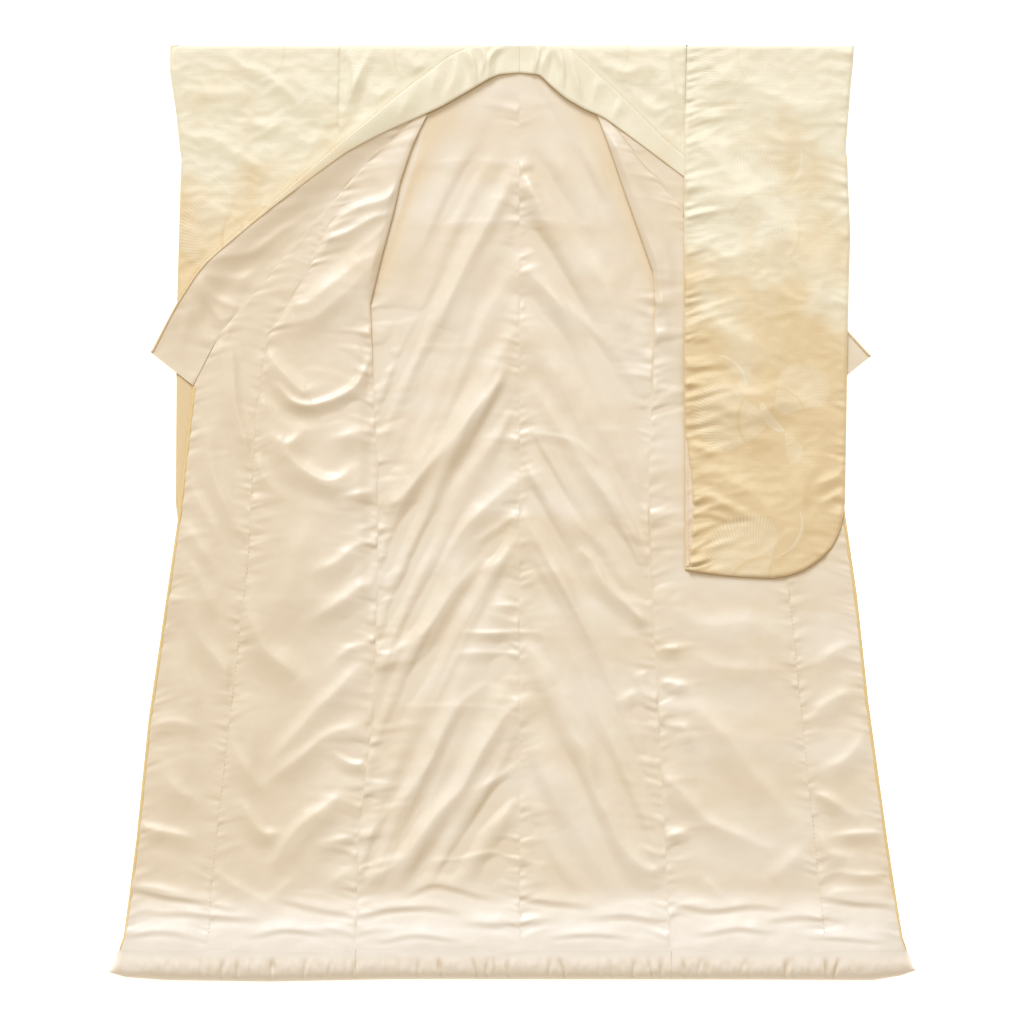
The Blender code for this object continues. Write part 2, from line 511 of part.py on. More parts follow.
def sleeve_walls():
    """Each sleeve is a back wall and a front wall, with the lining that shows in the right one."""
    plain = (PLAIN_ROW, PLAIN_COLUMN)
    left_edge = sorted((Knot(s.edge.up, s.edge.across) for s in COLLAR_LEFT), key=lambda k: k.across)

    def left_front(across, up):
        open_cloth = smooth(1.5, 5.0, up - across_line(left_edge, across))
        edges = fade(across, up, SLEEVE_LEFT_OUT, SLEEVE_LEFT_IN, 1.6)
        return ON_LINING + open_cloth * edges * fold_height(LEFT_SLEEVE_FOLDS, across, up)

    span = (SLEEVE_BOTTOM, LENGTH)
    panel("sleeve_left_back", GOLD, SLEEVE_LEFT_OUT, SLEEVE_LEFT_IN, span, on_floor, OUTER, plain)
    panel("sleeve_left_front", GOLD, SLEEVE_LEFT_OUT, SLEEVE_LEFT_IN, span, left_front, OUTER,
          (4.0, 3.2))
    step = (ROW, COLUMN)
    panel("sleeve_right_back", GOLD, SLEEVE_RIGHT_IN, SLEEVE_RIGHT_OUT, span,
          right_sleeve_level, OUTER, step)

    def right_front(across, up):
        edges = fade(across, up, SLEEVE_RIGHT_PULL, SLEEVE_RIGHT_OUT, 2.0)
        folds = fold_height(RIGHT_SLEEVE_FOLDS, across, up) * smooth(81.0, 86.0, up)
        return right_sleeve_level(across, up) + ON_LINING + edges * folds

    panel("sleeve_right_front", GOLD, SLEEVE_RIGHT_PULL, SLEEVE_RIGHT_OUT, span, right_front,
          OUTER, step)
    panel("sleeve_right_lining", IVORY, SLEEVE_LINING_EDGE, SLEEVE_LINING_BACK, (82.3, 107.0),
          lambda across, up: right_sleeve_level(across, up) + ON_OUTER, LINING, (ROW, 2.0))


def uncovered(across, up):
    """1 where the right front shows beside or below its sleeve, 0 under it."""
    beside = 1.0 - smooth(SHOWN_BESIDE[0], SHOWN_BESIDE[1], across)
    below = 1.0 - smooth(SLEEVE_BOTTOM - SHOWN_BELOW[0], SLEEVE_BOTTOM - SHOWN_BELOW[1], up)
    return max(beside, below)


def lining_height(folds, left, right, level, reach, shown=None):
    """The height function of a lining panel: its level, its folds and the hem's padding."""
    def height(across, up):
        share = fade(across, up, left, right, reach)
        if shown:
            share *= shown(across, up)
        return (level(across, up) + ON_OUTER + share * fold_height(folds, across, up)
                + padded_rise(up))
    return height


def below_neck(across, up):
    """1 on the back, 0 near the neck, where it is smooth."""
    return 1.0 - smooth(BACK_FOLDS_HIGH, BACK_FOLDS_END, up)


def lining_panels():
    """The satin lining: back, opened fronts and overlap panels, face up."""
    back = lining_height(BACK_FOLDS, OPENED_LEFT, OPENED_RIGHT, on_floor, 3.4, below_neck)
    span = (PANEL_BOTTOM, NECK_BOTTOM - 0.1)
    panel("back_lining_left", IVORY, BODY_LEFT, CENTRE_BACK, span, back, LINING)
    panel("back_lining_right", IVORY, CENTRE_BACK, BODY_RIGHT, span, back, LINING)

    span = (PANEL_BOTTOM, FRONT_TOP)
    panel("front_lining_left", IVORY, INNER_LEFT, OPENED_LEFT, span,
          lining_height(LEFT_FRONT_FOLDS, INNER_LEFT, OPENED_LEFT, left_front_level, FOLD_FADE),
          LINING)
    panel("front_lining_right", IVORY, OPENED_RIGHT, INNER_RIGHT, span,
          lining_height(RIGHT_FRONT_FOLDS, OPENED_RIGHT, INNER_RIGHT, right_front_level,
                        FOLD_FADE, uncovered), LINING)

    turned_in_left = [Knot(k.up, k.across + EDGE_TURN) for k in EDGE_LEFT]
    turned_in_right = [Knot(k.up, k.across - EDGE_TURN) for k in EDGE_RIGHT]
    panel("overlap_lining_left", IVORY, turned_in_left, OVERLAP_SEAM_LEFT,
          (PANEL_BOTTOM, OVERLAP_TOP_LEFT),
          lining_height(LEFT_OVERLAP_FOLDS, EDGE_LEFT, OVERLAP_SEAM_LEFT, left_front_level, 2.0),
          LINING)
    panel("overlap_lining_right", IVORY, OVERLAP_SEAM_RIGHT, turned_in_right,
          (PANEL_BOTTOM, OVERLAP_TOP_RIGHT),
          lining_height(RIGHT_OVERLAP_FOLDS, OVERLAP_SEAM_RIGHT, EDGE_RIGHT, right_front_level,
                        2.0, uncovered), LINING)


def between(start, end, share):
    """A plan point part of the way from one spot to another."""
    return Spot(start.across + (end.across - start.across) * share,
                start.up + (end.up - start.up) * share)


def collar_half(side, stations):
    """One half of the collar: the band with its upper edge folded over, and its lining."""
    rings = []
    for station in stations:
        low = station.level * ON_FRONT
        flap = low + COLLAR_FLAP
        width = math.dist(station.edge, station.flap)
        seam_width = math.dist(station.edge, station.seam)
        inner = min(OUTER * 0.1 / width, 0.5)
        keep = GAP * 0.1 / 2.0 / seam_width
        seam = between(station.seam, station.edge, keep)
        wall = between(station.edge, station.flap, inner)
        wall_low = between(station.edge, station.seam, OUTER * 0.1 / seam_width)
        rings.append([
            (*seam, low), (*station.edge, low), (*station.edge, flap + OUTER),
            (*station.flap, flap + OUTER), (*station.flap, flap), (*wall, flap),
            (*wall_low, low + OUTER), (*seam, low + OUTER)])
    first = 0.5 * GAP * 0.1 * (-1 if side == "left" else 1)
    rings[0] = [(across + first, up, height) for across, up, height in rings[0]]
    ring_body("collar_" + side, GOLD, rings)

    lines = []
    for station in stations[COLLAR_LINING_FIRST:]:
        seam_width = math.dist(station.edge, station.seam)
        low = station.level * ON_FRONT + ON_OUTER
        start = between(station.edge, station.seam, (OUTER + GAP) * 0.1 / seam_width)
        end = between(station.seam, station.edge, GAP * 0.1 / 2.0 / seam_width)
        steps = 3
        lines.append([(*between(start, end, i / steps), low) for i in range(steps + 1)])
    grid_wall("collar_lining_" + side, IVORY, lines, LINING)


def ring_body(name, finish, rings):
    """A closed body through rings that have the same number of points."""
    sides = len(rings[0])
    verts = [place(*point) for ring in rings for point in ring]
    faces = []
    for r in range(len(rings) - 1):
        for s in range(sides):
            a = r * sides + s
            b = r * sides + (s + 1) % sides
            faces += [(a, b, b + sides), (a, b + sides, a + sides)]
    last = (len(rings) - 1) * sides
    faces.append(tuple(range(sides)))
    faces.append(tuple(last + s for s in reversed(range(sides))))
    return solid_object(name, finish, verts, faces)


def tip_share(across):
    """How full the roll is, from TIP_SHARE at its tips to 1."""
    ends = smooth(0.0, ROLL_TIP, min(across - HEM_LEFT, HEM_RIGHT - across))
    return TIP_SHARE + (1.0 - TIP_SHARE) * ends


def roll_height(across):
    """Height of the hem roll in millimetres: it dips at each tack."""
    dip = sum(math.exp(-(((across - tack) / TACK_WIDTH) ** 2)) for tack in HEM_TACKS)
    return HEM_ROLL_HEIGHT * (1.0 - TACK_DEPTH * min(dip, 1.0)) * tip_share(across)


def roll_section(across):
    """The roll's outline at one place, as (share of its width, height): round, then flat on."""
    crest = roll_height(across)
    band = (ON_OUTER + LINING + PADDED_RISE) * tip_share(across)
    section = []
    for side in range(ROLL_SIDES + 1):
        turn = math.pi / 2.0 * side / ROLL_SIDES
        section.append((ROLL_CREST * (1.0 - math.cos(turn)), crest * math.sin(turn)))
    for side in range(1, ROLL_SIDES + 1):
        run = side / ROLL_SIDES
        section.append((ROLL_CREST + (1.0 - ROLL_CREST) * run,
                        crest + (band - crest) * smooth(0.0, 1.0, run)))
    section.append((1.0, ON_FLOOR))
    return section


def hem_roll(name, left, right):
    """One stretch of the padded hem roll: round above, flat where it lies."""
    count = max(2, round((right - left) / ROLL_STEP))
    rings = []
    for index in range(count + 1):
        across = left + (right - left) * index / count
        low = across_line(HEM_LINE, across)
        into = max(0.0, HEM_LEFT + ROLL_TIP - across) - max(0.0, across - HEM_RIGHT + ROLL_TIP)
        shift = HEM_SLANT * into / ROLL_TIP
        rings.append([(across + shift * share, low + (HEM_TOP - low) * share, height)
                      for share, height in roll_section(across)])
    ring_body(name, IVORY, rings)


def hem_rolls():
    """The padded hem roll, in the three stretches that the side seams part."""
    half = GAP * 0.1 / 2.0
    side_left = along(SIDE_LEFT, 0.0)
    side_right = along(SIDE_RIGHT, 0.0)
    hem_roll("hem_roll_left", HEM_LEFT, side_left - half)
    hem_roll("hem_roll_back", side_left + half, side_right - half)
    hem_roll("hem_roll_right", side_right + half, HEM_RIGHT)


def main():
    """Build every piece of the garment."""
    clear_scene()
    outer_panels()
    shoulder_panels()
    sleeve_walls()
    lining_panels()
    collar_half("left", COLLAR_LEFT)
    collar_half("right", COLLAR_RIGHT)
    hem_rolls()


main()
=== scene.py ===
"""Looks of an uchikake wedding kimono, laid open on its back with the lining up.

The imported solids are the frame.  Each cloth panel gets a dense shell of its own on
its solid's form, with the creases, seam puckers and soft waves of silk, and each
shell is dressed in woven satin or in figured gold brocade.

Plan positions are in centimetres: "across" from the centre back seam, "up" from the
hem line, as in the solids.  Heights are in millimetres.  Left and right are as seen.
"""
import logging
import math
from dataclasses import dataclass, field
from enum import Enum
from typing import Callable, Dict, List, NamedTuple, Optional, Sequence, Tuple, TypeVar

import bmesh
import bpy
import numpy as np
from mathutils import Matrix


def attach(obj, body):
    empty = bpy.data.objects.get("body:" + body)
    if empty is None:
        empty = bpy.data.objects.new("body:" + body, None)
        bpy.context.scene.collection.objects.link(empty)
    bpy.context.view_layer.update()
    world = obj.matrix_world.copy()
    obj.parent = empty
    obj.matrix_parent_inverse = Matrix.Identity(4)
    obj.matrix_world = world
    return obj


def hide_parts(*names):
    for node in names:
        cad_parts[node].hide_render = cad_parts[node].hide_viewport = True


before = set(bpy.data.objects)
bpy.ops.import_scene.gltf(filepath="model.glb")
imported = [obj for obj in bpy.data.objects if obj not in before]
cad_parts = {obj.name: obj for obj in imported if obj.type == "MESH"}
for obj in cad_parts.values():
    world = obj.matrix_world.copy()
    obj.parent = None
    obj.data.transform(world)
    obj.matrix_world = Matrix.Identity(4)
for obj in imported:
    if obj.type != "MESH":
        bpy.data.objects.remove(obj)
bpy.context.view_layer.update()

log = logging.getLogger("uchikake")

Grid = np.ndarray
Surface = Callable[[Grid, Grid], Grid]
Plan = Tuple[float, float]
Colour = Tuple[float, float, float]
Thing = TypeVar("Thing")

CM = 0.01
MM = 0.001

# Driving dimensions in centimetres, as in the solids
LENGTH = 185.4
SLEEVE_DROP = 105.5
SLEEVE_BOTTOM = LENGTH - SLEEVE_DROP
SLEEVE_SEAM_END = 163.6
ARMPIT = 134.0
NECK_BOTTOM = 179.1
FRONT_TOP = 169.0
OVERLAP_TOP_LEFT = 150.0
OVERLAP_TOP_RIGHT = 147.0
HEM_LEFT = -81.5
HEM_RIGHT = 78.6
EDGE_TURN = 0.4
HEM_TOP = 6.2
CENTRE_ACROSS = (HEM_LEFT + HEM_RIGHT) / 2.0
CENTRE_UP = LENGTH / 2.0

# Driving dimensions in millimetres, as in the solids
OUTER = 1.6
LINING = 1.2
GAP = 0.3
HEM_ROLL_HEIGHT = 26.0
ON_OUTER = OUTER + GAP
ON_LINING = ON_OUTER + LINING + GAP
ON_FRONT = ON_LINING + OUTER + GAP
COLLAR_FLAP = ON_LINING
COLLAR_STACK = COLLAR_FLAP + OUTER + GAP

PANEL_BOTTOM = HEM_TOP + GAP * 0.1
SEAM_LAP = 0.05                     # shells of the lining lap over their seams by this
LAP_RAISED = 0.08                   # and the upper one lies this many millimetres higher
UNDER_COLLAR = 171.6                # the front linings' shells end below the collar
BACK_TOP = NECK_BOTTOM + 0.8        # and the back's just below its neck

# Cells of the shells in centimetres, along the rows and up
FINE_CELL = (0.4, 0.3)
SLEEVE_CELL = (0.4, 0.4)
PLAIN_CELL = (1.6, 1.2)
HIDDEN_CELL = (1.0, 0.9)


class Side(Enum):
    """The two halves of the garment, as seen, with their sign across."""

    LEFT = -1
    RIGHT = 1

    @property
    def word(self) -> str:
        """The side's word in piece names."""
        return self.name.lower()


class Slot(Enum):
    """The record's material slots."""

    BROCADE = "brocade"
    LINING = "lining_satin"
    PADDED = "padded_hem"


class Knot(NamedTuple):
    """One knot of a seam or an edge."""

    up: float
    across: float


class Fold(NamedTuple):
    """A crease in the cloth: its path of (across, up), width in cm and height in mm."""

    path: Tuple[Plan, ...]
    width: float
    height: float


def folds(*rows: Sequence) -> Tuple[Fold, ...]:
    """Creases from rows of width, height and the (across, up) points of the path."""
    return tuple(Fold(tuple(path), width, height) for width, height, *path in rows)


def both(left: Thing, right: Thing) -> Dict[Side, Thing]:
    """One thing for each half of the garment."""
    return {Side.LEFT: left, Side.RIGHT: right}


class Station(NamedTuple):
    """A place along the collar: (across, up) of its edge, flap and seam, and its level."""

    edge: Plan
    flap: Plan
    seam: Plan
    level: float


class Motif(NamedTuple):
    """A crane of the brocade in its repeat: place in metres, heading and span."""

    across: float
    up: float
    heading: float
    reach: float


@dataclass(frozen=True)
class Rail:
    """A seam or an edge from the hem up."""

    knots: Tuple[Knot, ...]

    @staticmethod
    def of(*pairs: Plan) -> "Rail":
        """A rail from its (up, across) knots, from the hem up."""
        return Rail(tuple(Knot(*pair) for pair in pairs))

    def at(self, up: Grid) -> Grid:
        """The across position at each height above the hem."""
        return np.interp(up, [k.up for k in self.knots], [k.across for k in self.knots])

    def clip(self, low: float, high: float) -> "Rail":
        """The stretch of the rail between two heights.

        Args:
            low: Lower end, in centimetres.
            high: Upper end, in centimetres.

        Returns:
            The shorter rail.
        """
        inner = [k for k in self.knots if low < k.up < high]
        ends = [Knot(u, float(self.at(np.array(u)))) for u in (low, high)]
        return Rail((ends[0], *inner, ends[1]))

    def then(self, other: "Rail") -> "Rail":
        """This rail, followed upwards by another."""
        top = self.knots[-1].up + 1e-6
        return Rail(self.knots + tuple(k for k in other.knots if k.up > top))

    def shifted(self, across: float) -> "Rail":
        """The rail moved sideways."""
        return Rail(tuple(Knot(k.up, k.across + across) for k in self.knots))

    def path(self) -> Tuple[Plan, ...]:
        """The knots as (across, up) points."""
        return tuple((k.across, k.up) for k in self.knots)


CENTRE_BACK = Rail.of((0, 0), (LENGTH, 0))
SIDE_LEFT = Rail.of((0, -32.4), (28, -32), (53, -29), (80.5, -28.1), (101, -28.1),
                    (115, -28.8), (ARMPIT, -29.6))
SIDE_RIGHT = Rail.of((0, 30), (28, 28.8), (55.5, 27.4), (80.5, 26), (101, 25.5),
                     (115, 26.2), (ARMPIT, 26.9))
TURN_LEFT = Rail.of((ARMPIT, -29.6), (143.8, -27.2), (152.4, -24.9), (158.3, -23.6),
                    (165.2, -21.3), (170.5, -18.9), (178, -14.5), (LENGTH, -7.6))
TURN_RIGHT = Rail.of((ARMPIT, 26.9), (140.5, 26.4), (149, 23.4), (156.3, 20.8), (164, 18.2),
                     (170.5, 15.8), (178, 13), (LENGTH, 7.2))
SHOULDER_LEFT = Rail.of((ARMPIT, -30.4), (150, -33.5), (SLEEVE_SEAM_END, -36),
                        (LENGTH, -35.4))
SHOULDER_RIGHT = Rail.of((ARMPIT, 27.7), (150, 30.5), (SLEEVE_SEAM_END, 32.5), (LENGTH, 33))
OVERLAP_SEAM_LEFT = Rail.of((0, -62), (19.3, -61.1), (50, -57.7), (83.5, -53.8),
                            (112, -52.2), (128, -49.8), (139.5, -42.5), (155.4, -35.1))
OVERLAP_SEAM_RIGHT = Rail.of((0, 61.2), (26, 58.5), (51.8, 55.9), (83.5, 52.6),
                             (112, 49.8), (128, 45.8), (139.5, 40), (151.4, 32.5))
FRONT_EDGE_LEFT = Rail.of((6.5, -79.2), (9, -78.3), (28.6, -75.8), (52.2, -73.4), (73.8, -70.2),
                          (91.4, -67.6), (112.8, -65.2), (118, -64.6))
FRONT_EDGE_RIGHT = Rail.of((6.5, 76.6), (9, 75.7), (28, 72.8), (55.7, 69), (76.3, 66.8),
                           (92.8, 64.4), (112, 61.9), (117, 61))
COLLAR_SEAM_LEFT = Rail.of((118, -64.6), (128.3, -59.2), (134.9, -53.8), (147.3, -43.3),
                           (161.4, -30.8), (166.6, -25.4), (170.9, -20.6))
COLLAR_SEAM_RIGHT = Rail.of((117, 61), (127, 51.6), (141.9, 41.3), (152.7, 32.4),
                            (158.3, 27.8), (163.1, 23.4), (170.9, 17.2))
SLEEVE_LEFT_OUT = Rail.of((SLEEVE_BOTTOM, -60), (82.5, -64.4), (87, -67.2), (95, -68.1),
                          (135.7, -67.8), (163, -67), (165, -67.3), (172.6, -68.1),
                          (180.5, -69.3), (184, -69), (184.9, -68.5), (LENGTH, -67.6))
SLEEVE_LEFT_IN = Rail.of((SLEEVE_BOTTOM, -37.5), (82, -36.4), (SLEEVE_SEAM_END, -36),
                         (LENGTH, -35.4))
SLEEVE_RIGHT_OUT = Rail.of((SLEEVE_BOTTOM, 50.2), (80.15, 52.3), (80.7, 54.4), (81.5, 56.4),
                           (82.7, 58.3), (84.2, 60.2), (86, 61.7), (87.9, 62.8),
                           (90, 63.6), (92.4, 64.1), (95, 64.4), (131, 65), (148, 65.5),
                           (163, 64.9), (165, 64.6), (176.3, 65.5), (182.3, 66.1),
                           (LENGTH, 66.3))
SLEEVE_RIGHT_IN = Rail.of((SLEEVE_BOTTOM, 48), (80.4, 40), (81.3, 32.7),
                          (SLEEVE_SEAM_END, 32.5), (LENGTH, 33))
SLEEVE_RIGHT_PULL = Rail.of((SLEEVE_BOTTOM, 48), (80.4, 40), (81.3, 33.3), (84, 33.5),
                            (90, 34), (96, 34.1), (101, 33.7), (106, 33),
                            (109, 32.6), (SLEEVE_SEAM_END, 32.5), (LENGTH, 33))
SLEEVE_LINING_EDGE = Rail.of((82.3, 33), (110, 32.8))
SLEEVE_LINING_BACK = Rail.of((82.3, 36.5), (110, 36.5))

BODY = both(SIDE_LEFT.then(SHOULDER_LEFT), SIDE_RIGHT.then(SHOULDER_RIGHT))
OPENED = both(SIDE_LEFT.then(TURN_LEFT), SIDE_RIGHT.then(TURN_RIGHT))
OVERLAP_SEAM = both(OVERLAP_SEAM_LEFT, OVERLAP_SEAM_RIGHT)
COLLAR_SEAM = both(COLLAR_SEAM_LEFT, COLLAR_SEAM_RIGHT)
INNER = both(OVERLAP_SEAM_LEFT.then(COLLAR_SEAM_LEFT.clip(156.5, 170.9)),
             OVERLAP_SEAM_RIGHT.then(COLLAR_SEAM_RIGHT.clip(152.5, 170.9)))
FRONT_EDGE = both(FRONT_EDGE_LEFT, FRONT_EDGE_RIGHT)
EDGE = both(FRONT_EDGE_LEFT.then(COLLAR_SEAM_LEFT), FRONT_EDGE_RIGHT.then(COLLAR_SEAM_RIGHT))
OVERLAP_TOP = both(OVERLAP_TOP_LEFT, OVERLAP_TOP_RIGHT)
OVERLAP_POINT = both(155.9, 151.9)
LINED_EDGE = {side: FRONT_EDGE[side].shifted(-EDGE_TURN * side.value).then(
    COLLAR_SEAM[side].shifted(0.05 * side.value)) for side in Side}
SIDE = both(SIDE_LEFT, SIDE_RIGHT)
TURN = both(TURN_LEFT, TURN_RIGHT)
SHOULDER = both(SHOULDER_LEFT, SHOULDER_RIGHT)

COLLAR = both(
    (
        Station((0.04, 185.4), (0.04, 179.9), (0.04, 179.6), 0),
        Station((-4, 185.4), (-4, 179.5), (-4, 180.2), 0.55),
        Station((-7.5, 185.2), (-6.5, 178.4), (-7.5, 181.2), 1),
        Station((-10.6, 184.6), (-10.2, 176.2), (-11, 177.6), 1),
        Station((-14.6, 182.6), (-15.4, 173.2), (-15.8, 174.4), 1),
        Station((-24, 175.4), (-20.6, 170.8), (-20.6, 170.9), 1),
        Station((-30, 170.3), (-27.8, 167.5), (-25.4, 166.6), 1),
        Station((-36, 165.4), (-34.7, 163.7), (-30.8, 161.4), 1),
        Station((-49.4, 153.7), (-48.9, 153.1), (-43.3, 147.3), 1),
        Station((-62.1, 142.5), (-61.8, 142.2), (-53.8, 134.9), 1),
        Station((-67.9, 134.1), (-67.6, 133.9), (-59.2, 128.3), 1),
        Station((-73, 124.6), (-72.6, 124.4), (-64.6, 118), 1),
    ),
    (
        Station((0, 185.4), (0, 179.9), (0, 179.6), 0),
        Station((4, 185.4), (3.9, 179.4), (4, 180.2), 0.55),
        Station((7.5, 185.2), (6.3, 177.2), (7.5, 181.2), 1),
        Station((10.2, 184.4), (9.2, 174.8), (10, 176.8), 1),
        Station((13.6, 181.3), (12.8, 172.7), (13.4, 173.6), 1),
        Station((20, 175.4), (16.9, 170.8), (17.2, 170.9), 1),
        Station((27.8, 167.5), (25, 164.9), (23.4, 163.1), 1),
        Station((32.6, 163.3), (30.3, 160.9), (27.8, 158.3), 1),
        Station((38.2, 157.8), (36.5, 156.3), (32.4, 152.7), 1),
        Station((47.6, 148.4), (47.1, 147.9), (41.3, 141.9), 0),
        Station((60, 134.5), (59.6, 134.2), (51.6, 127), 0),
        Station((69.6, 123.9), (69.3, 123.6), (61, 117), 0),
    ),
)
COLLAR_LINING_FIRST = 5

# Broad waves of the back lining: the fir-tree folds that fall from the centre seam
BACK_WAVES = folds(
    (2.4, 4, (0.8, 161), (4.9, 153), (9, 146)),
    (2.6, 5, (-0.5, 141), (-7, 131), (-10.5, 121)),
    (2.8, 6, (-0.5, 129.5), (-9, 116), (-18, 105), (-22.5, 101)),
    (2.8, 6, (0.5, 131), (10, 118), (19, 104)),
    (3, 6, (-1, 121), (-10.5, 110.5), (-19, 100.5), (-25, 94.5)),
    (2.4, 4.5, (-0.5, 112), (-8, 103), (-16, 93)),
    (3, 7, (0.8, 92), (8, 80), (14, 66)),
    (3.4, 6, (-1, 82.5), (-9, 71), (-15, 57), (-18, 46)),
    (3.4, 6.5, (1, 74), (9, 59), (14.5, 44)),
    (3.4, 4.5, (-1.5, 60), (-8, 47), (-12, 33)),
    (3.2, 4.5, (2, 55), (9, 38), (13, 25)),
)
# Sharper creases of the back lining
BACK_CREASES = folds(
    (2.6, 8.5, (-1.5, 161), (-12.5, 137.5), (-15.5, 129)),
    (1.6, 5, (1, 160), (3, 156.5), (5, 153.5)),
    (1.9, 7, (0.5, 142.5), (7, 135.5), (17, 126)),
    (2.2, 8, (2.5, 156.5), (17, 137.5), (22, 126.5)),
    (1.8, 6, (-4.5, 118), (-14, 107), (-23, 96.5), (-26, 94.5)),
    (2.1, 7.5, (0.5, 100), (-10, 91), (-15.5, 81.5)),
    (1.5, 4.5, (0, 93), (-8, 87)),
    (2.2, 8, (3.5, 116.5), (12, 103.5), (21, 90.5)),
    (1.7, 7, (1.5, 108), (5.5, 100), (11, 91), (15, 87)),
    (1.9, 5.5, (0, 88.5), (-3.5, 83.5), (-8, 81)),
    (2.2, 9, (-8, 83), (-13, 77.5), (-17.5, 70.5), (-22.5, 66.5), (-26.5, 64.5), (-28.5, 65.5)),
    (0.9, 3, (-5, 74.5), (-0.5, 74.5)),
    (0.8, 3.5, (-10.5, 69), (-4, 69), (3.5, 69)),
    (0.8, 2.5, (-11.5, 65), (-5, 65), (0, 65)),
    (1.9, 7.5, (-7, 58.5), (-12, 54.5), (-15.5, 48.5), (-17, 44.5), (-21.5, 38), (-25, 34.5),
     (-27.5, 31.5), (-30.5, 28)),
    (2.1, 9, (0.5, 55.5), (-2.5, 53), (-5.5, 48.5), (-9, 43), (-11.5, 38), (-15.5, 34), (-20, 28),
     (-23.5, 24), (-27.5, 21.5), (-31, 21.5)),
    (1.3, 4, (0, 43.5), (-4, 40.5), (-8, 38)),
    (1.5, 3.5, (-1.5, 35), (-5, 31.5), (-8.5, 28.5)),
    (0.8, 2.5, (-17, 24), (-11.5, 24.5), (-6, 25.5), (-1.5, 24.5), (4.5, 23.5)),
    (1.2, 8, (12.5, 85), (15, 83), (17, 79), (21, 75), (23.5, 72.5), (26, 71)),
    (1.8, 5, (5.5, 83), (8.5, 79), (11, 74)),
    (1.7, 4, (1.5, 66), (5, 62), (7, 58.5)),
    (1.8, 7.5, (10.5, 48.5), (13.5, 44.5), (15, 38), (18, 31.5), (20.5, 27), (23, 24), (26, 22),
     (28, 23)),
    (2.2, 4, (4, 42), (7, 36), (9, 30)),
    (0.9, 3.5, (25, 26.5), (27.5, 25), (29, 25)),
    (0.9, 3.5, (24, 60.5), (27, 61.5)),
    (1.5, 3.5, (20, 55.5), (24, 57.5)),
    (0.8, 0.8, (-18.5, 162), (-9, 162.6), (-1, 162.2)),
    (0.8, 1, (-17, 150.2), (-6, 150.6), (5, 150.4), (14, 150)),
    (0.8, 0.7, (-22, 125.6), (-8, 125.8)),
    (0.8, 0.8, (-30, 54.2), (-14, 54.5), (-2, 54.2)),
    (0.7, 1.5, (1.5, 108.5), (7.5, 108), (12.5, 106), (17, 102.4)),
)
LEFT_FRONT_WAVES = folds(
    (2.8, 6, (-27.5, 143), (-34, 136.5), (-41, 131), (-48.5, 130)),
    (2.8, 4, (-50.5, 110), (-43, 101), (-36, 97.5), (-30.5, 99)),
    (2.8, 5, (-52.5, 76.5), (-50, 67), (-43.9, 60.3)),
    (3.2, 4, (-34.8, 38.5), (-40, 31), (-46, 24.5)),
    (3.4, 4, (-40, 92), (-44, 84), (-47, 74)),
    (3.2, 4, (-56, 60), (-53, 48), (-55, 36)),
)
LEFT_FRONT_CREASES = folds(
    (1.4, 7.5, (-23.5, 158), (-26.5, 155), (-32, 153), (-37.5, 150)),
    (1.4, 7.5, (-25, 152), (-29, 151), (-33.5, 148.5), (-37.5, 147), (-41.5, 145)),
    (1.5, 4.5, (-26, 150), (-29, 147), (-32.5, 144)),
    (2.3, 8, (-27, 144), (-32, 142), (-37.5, 138), (-41.5, 134.5), (-45, 133.5)),
    (1.7, 8, (-49.5, 124), (-46.5, 120.5), (-43, 117), (-41.5, 117)),
    (1.1, 8, (-47.5, 117.5), (-45, 115), (-41.5, 114), (-37.5, 115), (-34, 117), (-32, 119),
     (-29, 124)),
    (1.5, 4, (-54, 117.5), (-52, 115.5), (-48.5, 113)),
    (1.5, 5.5, (-48, 108), (-46, 106.5), (-43, 108.5)),
    (1.5, 7, (-46, 104), (-43, 101.5), (-39, 99.5), (-36, 99.5), (-33.5, 101)),
    (1.7, 5.5, (-36.5, 107.5), (-32.5, 108.5), (-28.5, 109)),
    (1.1, 4.5, (-35, 96), (-31.5, 96.5), (-28.5, 97)),
    (1.1, 3.5, (-32, 89.5), (-28.5, 90)),
    (1.5, 5.5, (-28, 87), (-32.5, 86), (-36, 83), (-39.5, 81.5)),
    (1.8, 6.5, (-28, 79), (-32, 78), (-36, 75), (-40, 72)),
    (1.2, 3.5, (-29, 67.5), (-33.5, 66), (-36.5, 63.5)),
    (1.9, 7, (-31.5, 62.5), (-36.5, 57.5), (-42.5, 51.5), (-48, 44.5)),
    (1.8, 6.5, (-30, 51), (-37.5, 49), (-43.5, 44.5), (-49, 40)),
    (1.6, 7, (-36, 36.5), (-40.5, 33.5), (-45, 29.5), (-48, 24.5)),
    (1, 4.5, (-36.5, 45), (-33, 43), (-30, 43.5)),
    (1.3, 4.5, (-38.5, 27.5), (-34.5, 28.5), (-32, 28.5)),
    (2, 5.5, (-54.5, 74.5), (-50.5, 66), (-44, 60.5)),
    (1.8, 4.5, (-57.5, 47), (-54.5, 43), (-51, 38)),
    (1.3, 6, (-54.5, 35), (-51, 30), (-48, 29.5)),
    (1.4, 4.5, (-60.5, 22), (-55.5, 18.5), (-50, 15.5)),
    (1.3, 3.5, (-45, 20.5), (-47.5, 18), (-50, 16)),
    (1.5, 3.5, (-33.5, 22), (-37.5, 19)),
    (1.3, 5.5, (-58.5, 129), (-57, 124), (-56.5, 117), (-56, 113.5), (-54.5, 108), (-52, 103.5),
     (-50, 99.5), (-48, 97)),
)
